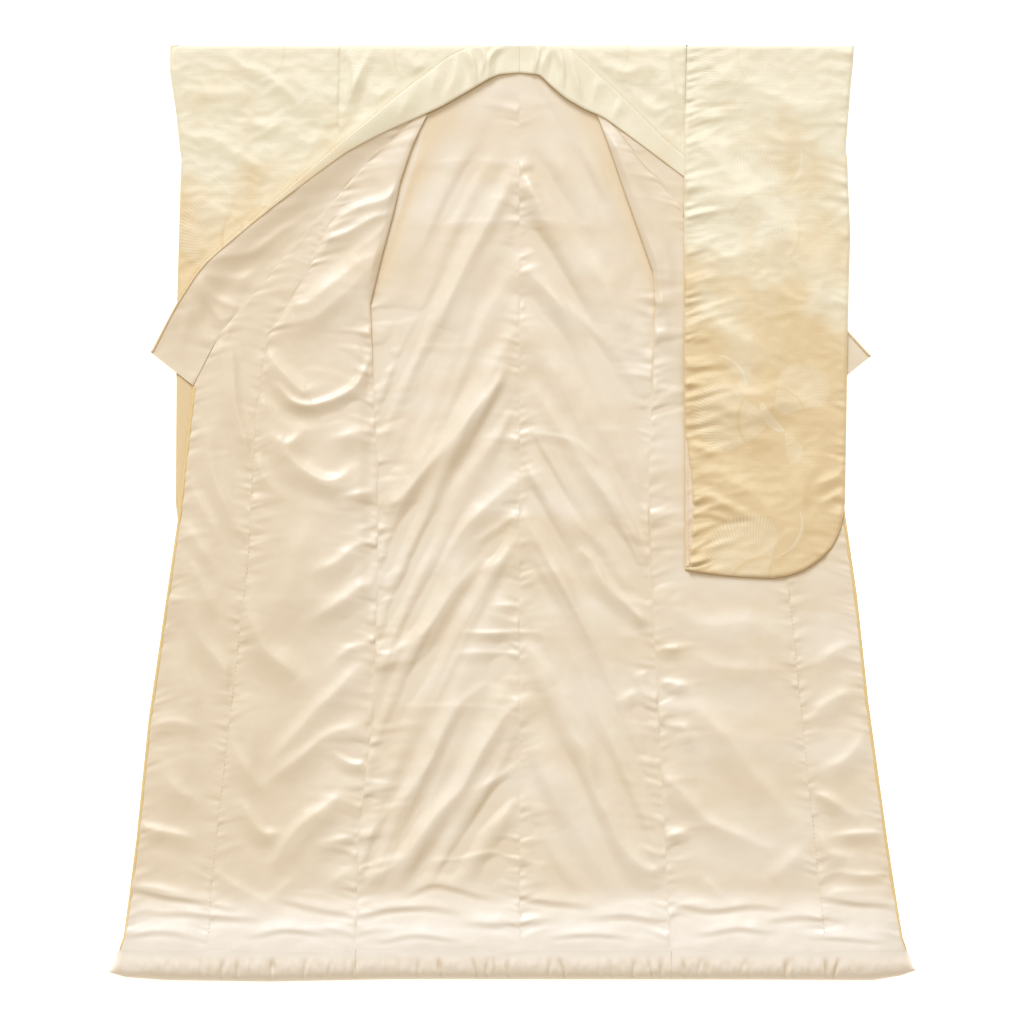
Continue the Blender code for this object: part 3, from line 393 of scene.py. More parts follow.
LEFT_OVERLAP_CREASES = folds(
    (2, 3.5, (-61.5, 133), (-59, 122), (-58.5, 108), (-57, 95)),
    (1.6, 5.5, (-61.5, 108), (-61, 102.5), (-59.5, 97), (-57, 91.5), (-54.5, 88.5)),
    (1.4, 4.5, (-65, 98.5), (-63, 94), (-60.5, 89.5), (-59, 86)),
    (1.3, 4.5, (-65, 89.5), (-63.5, 87), (-61, 82.5)),
    (1.4, 4.5, (-65, 83), (-63, 79), (-60.5, 73.5)),
    (1.8, 5.5, (-65, 75.5), (-62.5, 67.5), (-58.5, 61.5), (-56.5, 55.5)),
    (1.8, 4.5, (-67, 67.5), (-65, 59.5), (-63.5, 54.5)),
    (1.3, 5.5, (-75, 30.5), (-70, 29.5), (-65, 28.5)),
    (1.2, 5.5, (-76.5, 18.5), (-72, 18.5), (-67, 17.5)),
    (2.2, 4.5, (-71, 44), (-68, 38), (-64.5, 36)),
    (1.5, 3.5, (-73, 50), (-69, 51.5), (-63.5, 50.5)),
    (3, 4, (-70, 66), (-66, 50), (-66.5, 36)),
)
RIGHT_FRONT_CREASES = folds(
    (1.3, 3.5, (16.5, 167.5), (21, 163), (25.5, 156.5)),
    (1.7, 4, (18, 164.5), (24, 154.5), (28, 147), (31, 139)),
    (1.2, 3.5, (24, 149), (27, 142.5), (28, 135), (29.5, 127)),
    (3.2, 4, (27.5, 76), (36, 70.5), (45, 71), (51.5, 67.5)),
    (3.4, 3.5, (29, 60), (37, 51), (46, 47.5), (53, 50)),
    (1.7, 6, (28.5, 39.5), (31, 38.5), (34.5, 35), (37.5, 31.5), (43, 29), (49, 26.5)),
    (2.4, 5, (35, 54.5), (40.5, 49), (45, 42.5), (50.5, 36.5), (54.5, 31)),
    (0.9, 3.5, (28.5, 66), (31.5, 66)),
    (1.1, 4.5, (28, 59.5), (31, 59), (33.5, 58.5)),
    (1.6, 5, (29, 50), (32.5, 50), (34, 47)),
    (1.2, 3.5, (29.5, 29), (33.5, 29)),
    (1.1, 3.5, (36.5, 20.5), (38.5, 18.5), (40.5, 16.5)),
    (2.4, 3.5, (34, 64.5), (41.5, 62), (51.5, 61.5)),
    (2.8, 2.5, (39.5, 73.5), (44.5, 65.5), (47.5, 64.5)),
    (2.6, 5, (49.5, 20), (53.5, 23.5), (56, 26)),
)
RIGHT_OVERLAP_CREASES = folds(
    (1.4, 6, (58.5, 37), (61, 36.5), (66, 32.5)),
    (1.6, 5, (60, 28.5), (61.5, 25.5), (65, 24.5)),
    (1.1, 4.5, (63, 29), (67.5, 29.5), (71.5, 29.5)),
    (1, 4.5, (63.5, 21.5), (69, 21), (72.5, 21)),
    (1.2, 5, (61.5, 17), (64.5, 18), (73, 18)),
    (1.7, 3.5, (59.5, 63.5), (62.5, 65.5), (65.5, 66.5)),
    (1.7, 4.5, (58, 52), (61.5, 55.5), (65.5, 57.5)),
    (1.8, 4.5, (60.5, 42), (64.5, 44), (68.5, 49)),
)
FRONT_FOLDS = both(LEFT_FRONT_WAVES + LEFT_FRONT_CREASES, RIGHT_FRONT_CREASES)
OVERLAP_FOLDS = both(LEFT_OVERLAP_CREASES + LEFT_FRONT_CREASES[-1:], RIGHT_OVERLAP_CREASES)
# Long soft wrinkles of the padded hem band, over all the panels
HEM_WRINKLES = folds(
    (1.1, 4.2, (-78, 18.8), (-72, 17.6), (-65, 16.4), (-57, 14.8)),
    (1.2, 3.6, (-75, 14.2), (-66, 13.6), (-58, 13), (-52, 12.8)),
    (1, 3, (-79, 9.6), (-72, 10.2), (-65, 9.2)),
    (1, 3.2, (-52.5, 9.6), (-46, 10.6), (-39, 10)),
    (1.1, 3.2, (-47, 16.4), (-40, 14.6), (-33, 13.6)),
    (1.2, 4.2, (-32, 12.8), (-26, 14.6), (-18.5, 15.2), (-13, 14.4)),
    (1.1, 3.8, (-21.5, 18), (-17, 19.4), (-12, 18.4), (-7, 17.2)),
    (1.2, 4, (-10, 12), (-2.5, 11.6), (6, 12.6)),
    (0.9, 2.6, (-27, 8.4), (-19.5, 9.4), (-12, 8.8)),
    (1.2, 4, (-2, 17.6), (5, 16.2), (13, 15.4)),
    (0.9, 2.8, (7, 9.2), (14, 9.8), (21, 9.2)),
    (1.2, 3.8, (15, 13.2), (22, 13.4), (29, 12)),
    (1.2, 4, (30.5, 15.6), (37, 14.6), (45, 15.2), (51, 15)),
    (1, 3.2, (36, 9.8), (43, 10.8), (50, 10.2)),
    (1.2, 3.6, (50, 12.6), (57, 13.4), (64, 12.4)),
    (0.9, 2.6, (58, 9.4), (65, 8.8), (71, 8.4)),
    (1.1, 3.8, (60, 16.8), (67, 16), (74, 15.4)),
)
LEFT_SLEEVE_CREASES = folds(
    (1.8, 3, (-66, 176.5), (-60, 175.5), (-54, 176.8)),
    (1.1, 3.5, (-57, 183.2), (-54.5, 181), (-50.5, 180)),
    (1.4, 4, (-50, 179.5), (-46, 176.5), (-44, 174)),
    (2.4, 4, (-46, 181), (-41.5, 176), (-38.5, 171)),
    (1.2, 3.5, (-66.5, 167.5), (-61, 167), (-55, 163.5), (-50, 160)),
    (1.3, 3.5, (-53, 170.5), (-50, 169), (-47, 169.8)),
    (2.2, 3, (-64.5, 156), (-60, 152.5), (-57, 151.5)),
    (1.6, 3.5, (-64, 150), (-63, 145), (-60.5, 143)),
    (1.5, 3, (-45, 168), (-41, 166), (-38.5, 168.5)),
)
RIGHT_SLEEVE_CREASES = folds(
    (3, 4.5, (36, 176.5), (44, 178), (55, 173), (62, 174)),
    (2.6, 4, (35, 158), (42, 155), (50, 157.5)),
    (3.2, 5, (56, 150), (60, 141), (57, 130)),
    (2.8, 4.5, (35.5, 133), (42, 128), (50, 124)),
    (2.8, 5.5, (36, 117), (45, 112), (54, 115), (61, 111)),
    (3, 6, (37, 102), (45, 97), (52, 89)),
    (2.8, 5.5, (58, 104), (55.5, 95), (58, 88)),
    (0.9, 5, (34, 106.5), (36.5, 105.5), (39.5, 104.5)),
    (1.2, 5, (34.5, 96.5), (38, 96), (42, 93.8), (45.5, 92)),
    (1.1, 4.5, (34.8, 92), (38.5, 92.4), (41, 91.6)),
    (0.9, 4, (58.5, 98.5), (61.5, 99.5), (63.8, 101)),
    (0.8, 3.5, (60, 94.8), (62, 95.8), (63.8, 97)),
    (1.8, 4, (38, 118.5), (46, 116), (53.5, 118.5)),
    (2.2, 3, (44, 108), (50, 107), (55, 108.5)),
    (1.6, 3.5, (37, 182), (40, 180), (44, 181.5)),
    (2, 3, (48, 168), (53, 166), (59, 167.5)),
    (1.6, 3, (36, 168), (40, 165.5), (43.5, 166)),
    (1.8, 3, (36, 146), (41, 143.5), (46, 145.5)),
    (1.8, 3, (49, 139), (53, 135.5), (54, 131.5)),
)
SHOULDER_CREASES = both(
    folds(
        (1, 5, (-33.5, 183.5), (-33, 179), (-34.8, 171)),
        (1, 4.5, (-29.5, 184), (-32, 179.5), (-33.6, 174.5)),
        (1.6, 4, (-23, 183.5), (-19, 180.5), (-16.5, 181.2)),
        (1.4, 3, (-31, 178), (-28, 175.5), (-25.5, 178)),
        (1.2, 3, (-27, 184.5), (-24.5, 180)),
    ),
    folds(
        (1.6, 4.5, (15, 183.5), (20, 180), (25, 181)),
        (1.2, 5, (29, 183), (30, 177), (31.5, 171.5)),
        (1.3, 3.5, (25, 184), (27.5, 179), (28.5, 173)),
        (1.4, 3, (22, 176.5), (26, 173), (30, 172)),
    ),
)
COLLAR_CREASES = both(
    folds(
        (0.55, 6, (-3.6, 185.2), (-5.6, 183.2), (-6, 179)),
        (0.5, 4, (-7.4, 185), (-6.8, 182.6), (-7.6, 179.6)),
        (0.7, 5, (-10, 184.6), (-9, 181.5), (-8.6, 178.6)),
        (0.9, 4, (-12.5, 182.4), (-13, 179), (-14.6, 175.5)),
        (1, 3, (-16.5, 180), (-17.6, 176)),
        (1.2, 2.4, (-22, 175.5), (-24, 171)),
    ),
    folds(
        (0.5, 6, (3.4, 185.2), (3.2, 182.6), (2.7, 180)),
        (0.7, 5, (5.8, 185), (4.6, 182.5), (4.2, 179.8)),
        (0.6, 4.5, (7.6, 184.6), (8.6, 181), (8.8, 177.5)),
        (0.8, 4.5, (10, 183.4), (11.4, 179), (12.4, 175.4)),
        (0.9, 3, (15.6, 178.6), (15, 174.4)),
        (0.8, 3, (20, 174), (18.6, 171)),
    ),
)
# Creases of the opened collar's lining, fanning out below its edge
COLLAR_LINING_CREASES = folds(
    (1.4, 4, (-60.5, 143), (-54, 144), (-48.5, 147.5), (-41.5, 152)),
    (1.2, 3.5, (-62, 139.5), (-55.5, 139), (-53, 140)),
    (1.1, 3.5, (-62.5, 138.5), (-60.5, 135.5), (-56, 133.5)),
    (1, 3.5, (-63, 138), (-61, 133.5), (-58.5, 130)),
    (1.1, 3, (-63.5, 137.5), (-63, 131), (-61.5, 125.5)),
    (1.2, 2.5, (-65, 136), (-66, 131), (-67, 126)),
)

# Section of the edge binding: centimetres inwards and millimetres of height
BINDING_PROFILE = ((0.0, 0.2), (-0.03, 1.0), (-0.03, 2.0), (0.03, 2.9), (0.13, 3.5), (0.25, 3.75),
                   (0.36, 3.6), (0.44, 3.1), (0.48, 2.2))
# A stitch's rings: share of its length from the middle, and girth
STITCH_RINGS = ((-1.0, 0.15), (-0.55, 0.85), (0.0, 1.0), (0.55, 0.85), (1.0, 0.15))
STITCH_SIDES = 6
STITCH_GRID = 0.5                   # its seam is read at every so many centimetres

HEM_LINE = ((HEM_LEFT, 1.9), (-78.0, 0.9), (-70.0, 0.3), (-50.0, 0.0), (-24.0, 0.5),
            (48.0, 0.4), (70.0, 0.3), (75.5, 1.2), (HEM_RIGHT, 2.3))
HEM_SLANT = 1.9
TIP_BLUNT = 1.6
ROLL_CREST = 0.6
ROLL_TIP = 9.0
TIP_SHARE = 0.55
TACKS_START = -69.0
TACKS_END = 68.0
TACKS = 52
TACK_WIDTH = 0.42
TACK_DEPTH = 0.27
PADDED_FULL = 3.8
PADDED_BAND = 18.5
PADDED_RISE = 21.6

# How the turned fronts and the collar stand up, in millimetres over centimetres
TURN_BILLOW = 4.5
TURN_CROWN = 1.1                    # the fold's crown stands this far in from it
TURN_FALL = 4.0
TURN_FROM = (124.0, 140.0)
TURN_TO = (166.0, 171.0)
COLLAR_BILLOW = 13.0
COLLAR_BILLOW_FIRST = 4             # from this station of the collar on
COLLAR_BILLOW_REACH = (0.5, 7.0)
COLLAR_CLEARANCE = 2.5              # linings are flat this close to the folded-over walls
COLLAR_FOLDED_TO = 8                # the stations with a folded-over wall
COLLAR_LIFT = 1.4
COLLAR_LIFT_REACH = 3.5
COLLAR_CLEAR = 4.4
COLLAR_RAMP = 11.0
SLEEVE_RAMP = (66.0, 76.0)
TURN_RAMP = (118.0, 130.0)
LEFT_STEP = (29.2, 32.2)
RIGHT_STEP = (35.5, 41.0)
PILE_ACROSS = (48.0, 56.0)
PILE_UP = (108.0, 114.0)
BACK_CALM = (160.0, 167.0)
SHOWN_BESIDE = (29.0, 31.6)
SHOWN_BELOW = (5.0, 2.0)
FOLD_LEAN = 0.36
HEM_LEAN = -0.5
FOLD_GAIN = 1.12
FOLD_REACH = 4.2                    # how far a fold reaches, in its own widths
FOLD_TROUGH = 0.2                   # depth of the trough at its foot, of its height
BEND = 0.35                         # how far its path wanders, in centimetres
BEND_CELL = 9.0
FIR_BROAD = (2.7, 13.5)             # height in mm and pitch in cm of the long soft folds
FIR_FINE = (1.7, 6.1)
BAND_END = (17.0, 24.0)
SEAMS_START = (6.0, 11.0)
HEM_EASE = 1.6
WRINKLE_GAIN = 0.8
LINING_DIP = -1.1

# How far off, in metres, the satin looks for cloth standing over it, where shade is painted warm
# into its colour
SHADE_REACH = 0.05
SHEEN_ROUGHNESS = 0.35
FEATHER_LINES = 15.0
REPEAT_ACROSS = 0.34
REPEAT_UP = 0.72
CRANES = (
    Motif(0.165, 0.20, 1.15, 0.135),
    Motif(0.175, 0.55, 2.25, 0.125),
)


def smooth(low: float, high: float, value: Grid) -> Grid:
    """0 below low, 1 above high, with soft ends."""
    share = np.clip((value - low) / (high - low), 0.0, 1.0)
    return share * share * (3.0 - 2.0 * share)


def place(across: Grid, up: Grid, height: Grid) -> Grid:
    """Centimetres in the plan and millimetres of height as points in the frame."""
    across, up, height = np.broadcast_arrays(across, up, height)
    return np.stack(((across - CENTRE_ACROSS) * CM, (up - CENTRE_UP) * CM, height * MM), -1)


class SoftNoise:
    """Seeded gradient noise over the plan, from about -1 to 1."""

    SIZE = 256

    def __init__(self, seed: int) -> None:
        """Args:
            seed: Which noise to make.
        """
        turn = np.random.default_rng(seed).random((self.SIZE, self.SIZE)) * 2.0 * math.pi
        self.steep = np.stack((np.cos(turn), np.sin(turn)), -1)

    def corner(self, col: Grid, row: Grid, x: Grid, y: Grid) -> Grid:
        """How much a lattice corner pulls at points x, y away from it."""
        steep = self.steep[row % self.SIZE, col % self.SIZE]
        return steep[..., 0] * x + steep[..., 1] * y

    def __call__(self, x: Grid, y: Grid) -> Grid:
        """The noise at points given in cells.

        Args:
            x: Positions across.
            y: Positions up.

        Returns:
            The noise.
        """
        x, y = np.broadcast_arrays(np.asarray(x, float), np.asarray(y, float))
        col, row = np.floor(x).astype(int), np.floor(y).astype(int)
        fx, fy = x - col, y - row
        sx = fx * fx * fx * (fx * (fx * 6.0 - 15.0) + 10.0)
        sy = fy * fy * fy * (fy * (fy * 6.0 - 15.0) + 10.0)
        low = (self.corner(col, row, fx, fy) * (1.0 - sx)
               + self.corner(col + 1, row, fx - 1.0, fy) * sx)
        high = (self.corner(col, row + 1, fx, fy - 1.0) * (1.0 - sx)
                + self.corner(col + 1, row + 1, fx - 1.0, fy - 1.0) * sx)
        return (low * (1.0 - sy) + high * sy) * 1.5


DRIFT = SoftNoise(3)
SWELL = SoftNoise(7)
CRINKLE = SoftNoise(11)


def softened(path: Sequence[Plan], pieces: int = 4) -> Grid:
    """A path as a smooth curve through its points.

    Args:
        path: The path's (across, up) points.
        pieces: Into how many pieces each span is cut.

    Returns:
        The curve's points.
    """
    points = np.array(path, float)
    if len(points) < 3:
        return points
    slopes = np.gradient(points, axis=0)
    curve = [points[0]]
    for start, end, leave, arrive in zip(points, points[1:], slopes, slopes[1:]):
        for t in np.linspace(0.0, 1.0, pieces + 1)[1:]:
            curve.append((2 * t ** 3 - 3 * t ** 2 + 1) * start + (t ** 3 - 2 * t ** 2 + t) * leave
                         + (3 * t ** 2 - 2 * t ** 3) * end + (t ** 3 - t ** 2) * arrive)
    return np.array(curve)


def nearest_on(path: Sequence[Plan], across: Grid, up: Grid) -> Tuple[Grid, Grid, Grid]:
    """The nearest point of a path.

    Args:
        path: The path's (across, up) points.
        across: Positions across.
        up: Positions up.

    Returns:
        The distance, how far along the path from 0 to 1, and 1 above it or -1 below.
    """
    best = np.full(np.shape(across), 1e9)
    where = np.zeros_like(best)
    side = np.ones_like(best)
    spans = len(path) - 1
    run = path[-1][0] - path[0][0]
    turned = 1.0 if (run > 0 or (run == 0 and path[-1][1] < path[0][1])) else -1.0
    for index, ((x0, y0), (x1, y1)) in enumerate(zip(path, path[1:])):
        dx, dy = x1 - x0, y1 - y0
        along = ((across - x0) * dx + (up - y0) * dy) / (dx * dx + dy * dy)
        along = np.clip(along, 0.0, 1.0)
        away_x, away_y = across - x0 - dx * along, up - y0 - dy * along
        gap = np.hypot(away_x, away_y)
        closer = gap < best
        best = np.where(closer, gap, best)
        where = np.where(closer, (index + along) / spans, where)
        leaning = (dx * away_y - dy * away_x) / (math.hypot(dx, dy) * gap + 1e-9)
        side = np.where(closer, turned * leaning, side)
    return best, where, side


def relief(folds: Sequence[Fold], across: Grid, up: Grid, lean: float = FOLD_LEAN) -> Grid:
    """Height in millimetres that a table of folds gives.

    Each fold is a ridge with a steep side above, a long soft one below and a shallow
    trough at its foot.  It swells and dies out along its path.

    Args:
        folds: The folds.
        across: Positions across.
        up: Positions up.
        lean: How much steeper the upper side is, or the lower one where negative.

    Returns:
        The height at each position.
    """
    total = np.zeros(np.shape(across))
    col, row = across / BEND_CELL, up / BEND_CELL
    bent_across = across + BEND * DRIFT(col, row)
    bent_up = up + BEND * DRIFT(col + 40.0, row + 17.0)
    for number, fold in enumerate(folds):
        path = softened(fold.path)
        reach = fold.width * FOLD_REACH
        low, high = path.min(0) - reach, path.max(0) + reach
        near = ((bent_across > low[0]) & (bent_across < high[0])
                & (bent_up > low[1]) & (bent_up < high[1]))
        if not near.any():
            continue
        gap, where, side = nearest_on(path, bent_across[near], bent_up[near])
        away = gap / (fold.width * (1.05 - lean * side))
        crest = np.exp(-((away * away + 0.02) ** 0.8))
        trough = FOLD_TROUGH * np.exp(-(((away - 1.9) / 0.8) ** 2)) * np.clip(-side, 0.0, 1.0)
        taper = np.sin(math.pi * np.clip(0.08 + 0.85 * where, 0.0, 1.0)) ** 0.7
        swell = 0.9 + 0.25 * SWELL(where * 2.2 + number * 5.3, number * 1.7)
        total[near] += FOLD_GAIN * fold.height * taper * swell * (crest - trough)
    return total


@dataclass(frozen=True)
class Pucker:
    """A seam that draws the cloth in: a groove with short ripples across it."""

    rail: Rail
    pitch: float = 1.0
    reach: float = 1.5
    ripple: float = 0.9
    groove: float = 1.0
    seed: float = 0.0

    def height(self, across: Grid, up: Grid) -> Grid:
        """Height in millimetres that the seam adds.

        Args:
            across: Positions across.
            up: Positions up.

        Returns:
            The height at each position.
        """
        gap, _, _ = nearest_on(self.rail.path(), across, up)
        beside = np.sign(across - self.rail.at(up))
        run = up - 0.3 * gap * (1.0 + 0.8 * DRIFT(up / 9.0, self.seed + 5.0))
        row = beside * 3.3 + self.seed
        fine = CRINKLE(run / self.pitch, row + gap * 0.12)
        coarse = CRINKLE(run / (self.pitch * 2.3) + 31.0, row + gap * 0.07)
        length = self.reach * np.clip(0.9 + 0.9 * DRIFT(up / 2.3 + 9.0, row), 0.3, None)
        ripples = (0.8 * fine * np.exp(-((gap / length) ** 2))
                   + 1.1 * coarse * np.exp(-((gap / (length * 1.9)) ** 2)))
        strong = np.clip(0.75 + 0.9 * SWELL(up / 5.0 + self.seed, row), 0.15, 1.5)
        return (2.0 * self.ripple * strong * ripples * smooth(0.0, 0.4, gap)
                - self.groove * np.exp(-((gap / 0.3) ** 2)))


def waves(across: Grid, up: Grid, size: float = 1.0) -> Grid:
    """The soft unevenness of silk that lies loose.

    Args:
        across: Positions across.
        up: Positions up.
        size: How strong it is.

    Returns:
        Height in millimetres.
    """
    broad = 1.2 * SWELL(across / 9.0, up / 13.0)
    middle = 0.6 * CRINKLE(across / 3.4, up / 4.6)
    small = 0.13 * CRINKLE(across / 1.2 + 30.0, up / 1.6)
    return size * (broad + middle + small)


def crinkles(across: Grid, up: Grid) -> Grid:
    """The small uneven dents of stiff brocade, drawn out a little across.

    Args:
        across: Positions across.
        up: Positions up.

    Returns:
        Height in millimetres.
    """
    bent = up + 0.8 * DRIFT(across / 5.0, up / 5.0)
    wide = 1.0 - np.abs(CRINKLE(across / 4.6 + 7.0, bent / 2.7)) * 1.8
    fine = CRINKLE(across / 1.9, bent / 1.2 + 19.0)
    return 0.9 * wide + 0.28 * fine


def fir_tree(across: Grid, up: Grid) -> Grid:
    """The long soft folds that fall to both sides of the centre back seam.

    Args:
        across: Positions across.
        up: Positions up.

    Returns:
        Height in millimetres.
    """
    beside = np.sqrt(across * across + 2.0)
    sides = np.sign(across) * 6.0
    run = up + 1.5 * beside + 0.016 * beside * beside
    run = run + 7.0 * DRIFT(run / 34.0 + sides, beside / 40.0) + sides * 0.9
    strong = np.clip(0.7 + 1.1 * SWELL(run / 17.0 + sides, beside / 14.0 + 4.0), 0.05, 1.5)
    wave = np.sin(2.0 * math.pi * run / FIR_BROAD[1])
    fine = np.sin(2.0 * math.pi * run / FIR_FINE[1] + 1.0)
    fine = fine * np.clip(SWELL(run / 9.0, beside / 9.0), 0, 1)
    near = smooth(0.0, 4.0, np.abs(across))
    return (FIR_BROAD[0] * wave + FIR_FINE[0] * fine) * strong * near


def fade(across: Grid, up: Grid, left: Rail, right: Rail, reach: float) -> Grid:
    """1 inside a panel, falling to 0 within reach of both of its rails."""
    return (smooth(0.0, reach, across - left.at(up)) * smooth(0.0, reach, right.at(up) - across))


def tip_fullness(inwards: Grid) -> Grid:
    """How full the padding is some centimetres in from a tip of the hem.

    Args:
        inwards: Centimetres from the tip, along the hem line.

    Returns:
        The share of its full height.
    """
    ends = TIP_SHARE + (1.0 - TIP_SHARE) * smooth(0.0, ROLL_TIP, inwards)
    blunt = np.clip(inwards / TIP_BLUNT, 0.0, 1.0)
    return ends * np.maximum(np.sqrt(1.0 - (1.0 - blunt) ** 2), 0.15)


def fullness(across: Grid) -> Grid:
    """How full the padding is at the foot of the panels, above the slanted tips."""
    inwards = np.minimum(across - HEM_LEFT, HEM_RIGHT - across)
    slanted = (inwards - HEM_SLANT) / (1.0 - HEM_SLANT / ROLL_TIP)
    return tip_fullness(np.maximum(np.where(inwards < ROLL_TIP, slanted, inwards), 0.35))


def padded_rise(across: Grid, up: Grid) -> Grid:
    """How many millimetres the padding lifts the lining above the hem roll."""
    full = (ON_OUTER + LINING + PADDED_RISE) * fullness(across) - ON_OUTER - LINING
    return full * (1.0 - smooth(PADDED_FULL, PADDED_BAND, up))


def on_floor(across: Grid, up: Grid) -> Grid:
    """Height of what lies on the floor."""
    return np.zeros(np.shape(across))


def left_front_level(across: Grid, up: Grid) -> Grid:
    """Height of the opened left front's outer cloth, over sleeve and shoulder."""
    over_sleeve = smooth(*LEFT_STEP, -across) * smooth(*SLEEVE_RAMP, up)
    return ON_FRONT * np.maximum(over_sleeve, smooth(*TURN_RAMP, up))


def right_front_level(across: Grid, up: Grid) -> Grid:
    """Height of the opened right front's outer cloth, over its shoulder only."""
    return ON_FRONT * smooth(*TURN_RAMP, up) * (1.0 - smooth(*RIGHT_STEP, across))


FRONT_LEVEL = both(left_front_level, right_front_level)


def collar_edge_up(side: Side, across: Grid) -> Grid:
    """Centimetres above the hem line of a collar half's outer edge."""
    line = sorted(station.edge for station in COLLAR[side])
    return np.interp(across, [a for a, _ in line], [u for _, u in line])


def clear_of_collar(across: Grid, up: Grid) -> Grid:
    """0 below the folded-over walls of the collar, 1 clear of them.

    Args:
        across: Positions across.
        up: Positions up.

    Returns:
        The share at each position.
    """
    near = np.full(np.shape(across), 1e9)
    for stations in COLLAR.values():
        flaps = tuple(station.flap for station in stations[:COLLAR_FOLDED_TO])
        gap, _, side = nearest_on(flaps, across, up)
        near = np.minimum(near, np.where(side > 0, 0.0, gap))
    return smooth(0.0, COLLAR_CLEARANCE, near)


def turned_billow(across: Grid, up: Grid) -> Grid:
    """How much the turned-out fronts stand up along their fold.

    Args:
        across: Positions across.
        up: Positions up.

    Returns:
        Height in millimetres, nothing on the back lining.
    """
    total = np.zeros(np.shape(across))
    for side, rail in OPENED.items():
        into = (across - rail.at(up)) * side.value
        crown = np.sqrt(np.clip(1.0 - (1.0 - into / TURN_CROWN) ** 2, 0.0, 1.0)) * (into > 0.0)
        beyond = np.exp(-(((into - TURN_CROWN) / TURN_FALL) ** 2))
        crown = np.where(into > TURN_CROWN, beyond, crown)
        along = smooth(*TURN_FROM, up), 1.0 - smooth(*TURN_TO, up)
        total = total + TURN_BILLOW * crown * along[0] * along[1]
    return total


def above_collar(side: Side, across: Grid, up: Grid) -> Grid:
    """How much the cloth above a collar half rises towards its folded edge."""
    above = up - collar_edge_up(side, across)
    return COLLAR_LIFT * smooth(0.03, 0.12, above) * np.exp(-((above / COLLAR_LIFT_REACH) ** 2))


def collar_billow(across: Grid, up: Grid) -> Grid:
    """How much the cloth stands up below the collar's folded edge.

    Args:
        across: Positions across.
        up: Positions up.

    Returns:
        Height in millimetres, most at the edge and nothing a hand further down.
    """
    edge = tuple(station.edge for station in COLLAR[Side.LEFT][COLLAR_BILLOW_FIRST:])
    gap, where, _ = nearest_on(edge, across, up)
    long = smooth(0.0, 0.25, where) * (1.0 - smooth(0.72, 1.0, where))
    return COLLAR_BILLOW * long * (1.0 - smooth(*COLLAR_BILLOW_REACH, gap))


def right_sleeve_level(across: Grid, up: Grid) -> Grid:
    """Height of the right sleeve's underside, which lies over the opened right front.

    Args:
        across: Positions across.
        up: Positions up.

    Returns:
        Height in millimetres.
    """
    above = up - collar_edge_up(Side.RIGHT, across)
    covered = 1.0 - smooth(COLLAR_CLEAR, COLLAR_RAMP, above)
    piled = (1.0 - smooth(*PILE_ACROSS, across)) * smooth(*PILE_UP, up)
    return covered * (ON_FRONT + piled * COLLAR_STACK)


def shown_beside_sleeve(across: Grid, up: Grid) -> Grid:
    """1 where the right front shows beside or below its sleeve, 0 under it.

    Args:
        across: Positions across.
        up: Positions up.

    Returns:
        The share at each position.
    """
    beside = 1.0 - smooth(*SHOWN_BESIDE, across)
    below = 1.0 - smooth(SLEEVE_BOTTOM - SHOWN_BELOW[0], SLEEVE_BOTTOM - SHOWN_BELOW[1], up)
    return np.maximum(beside, below)


SHOWN = both(None, shown_beside_sleeve)


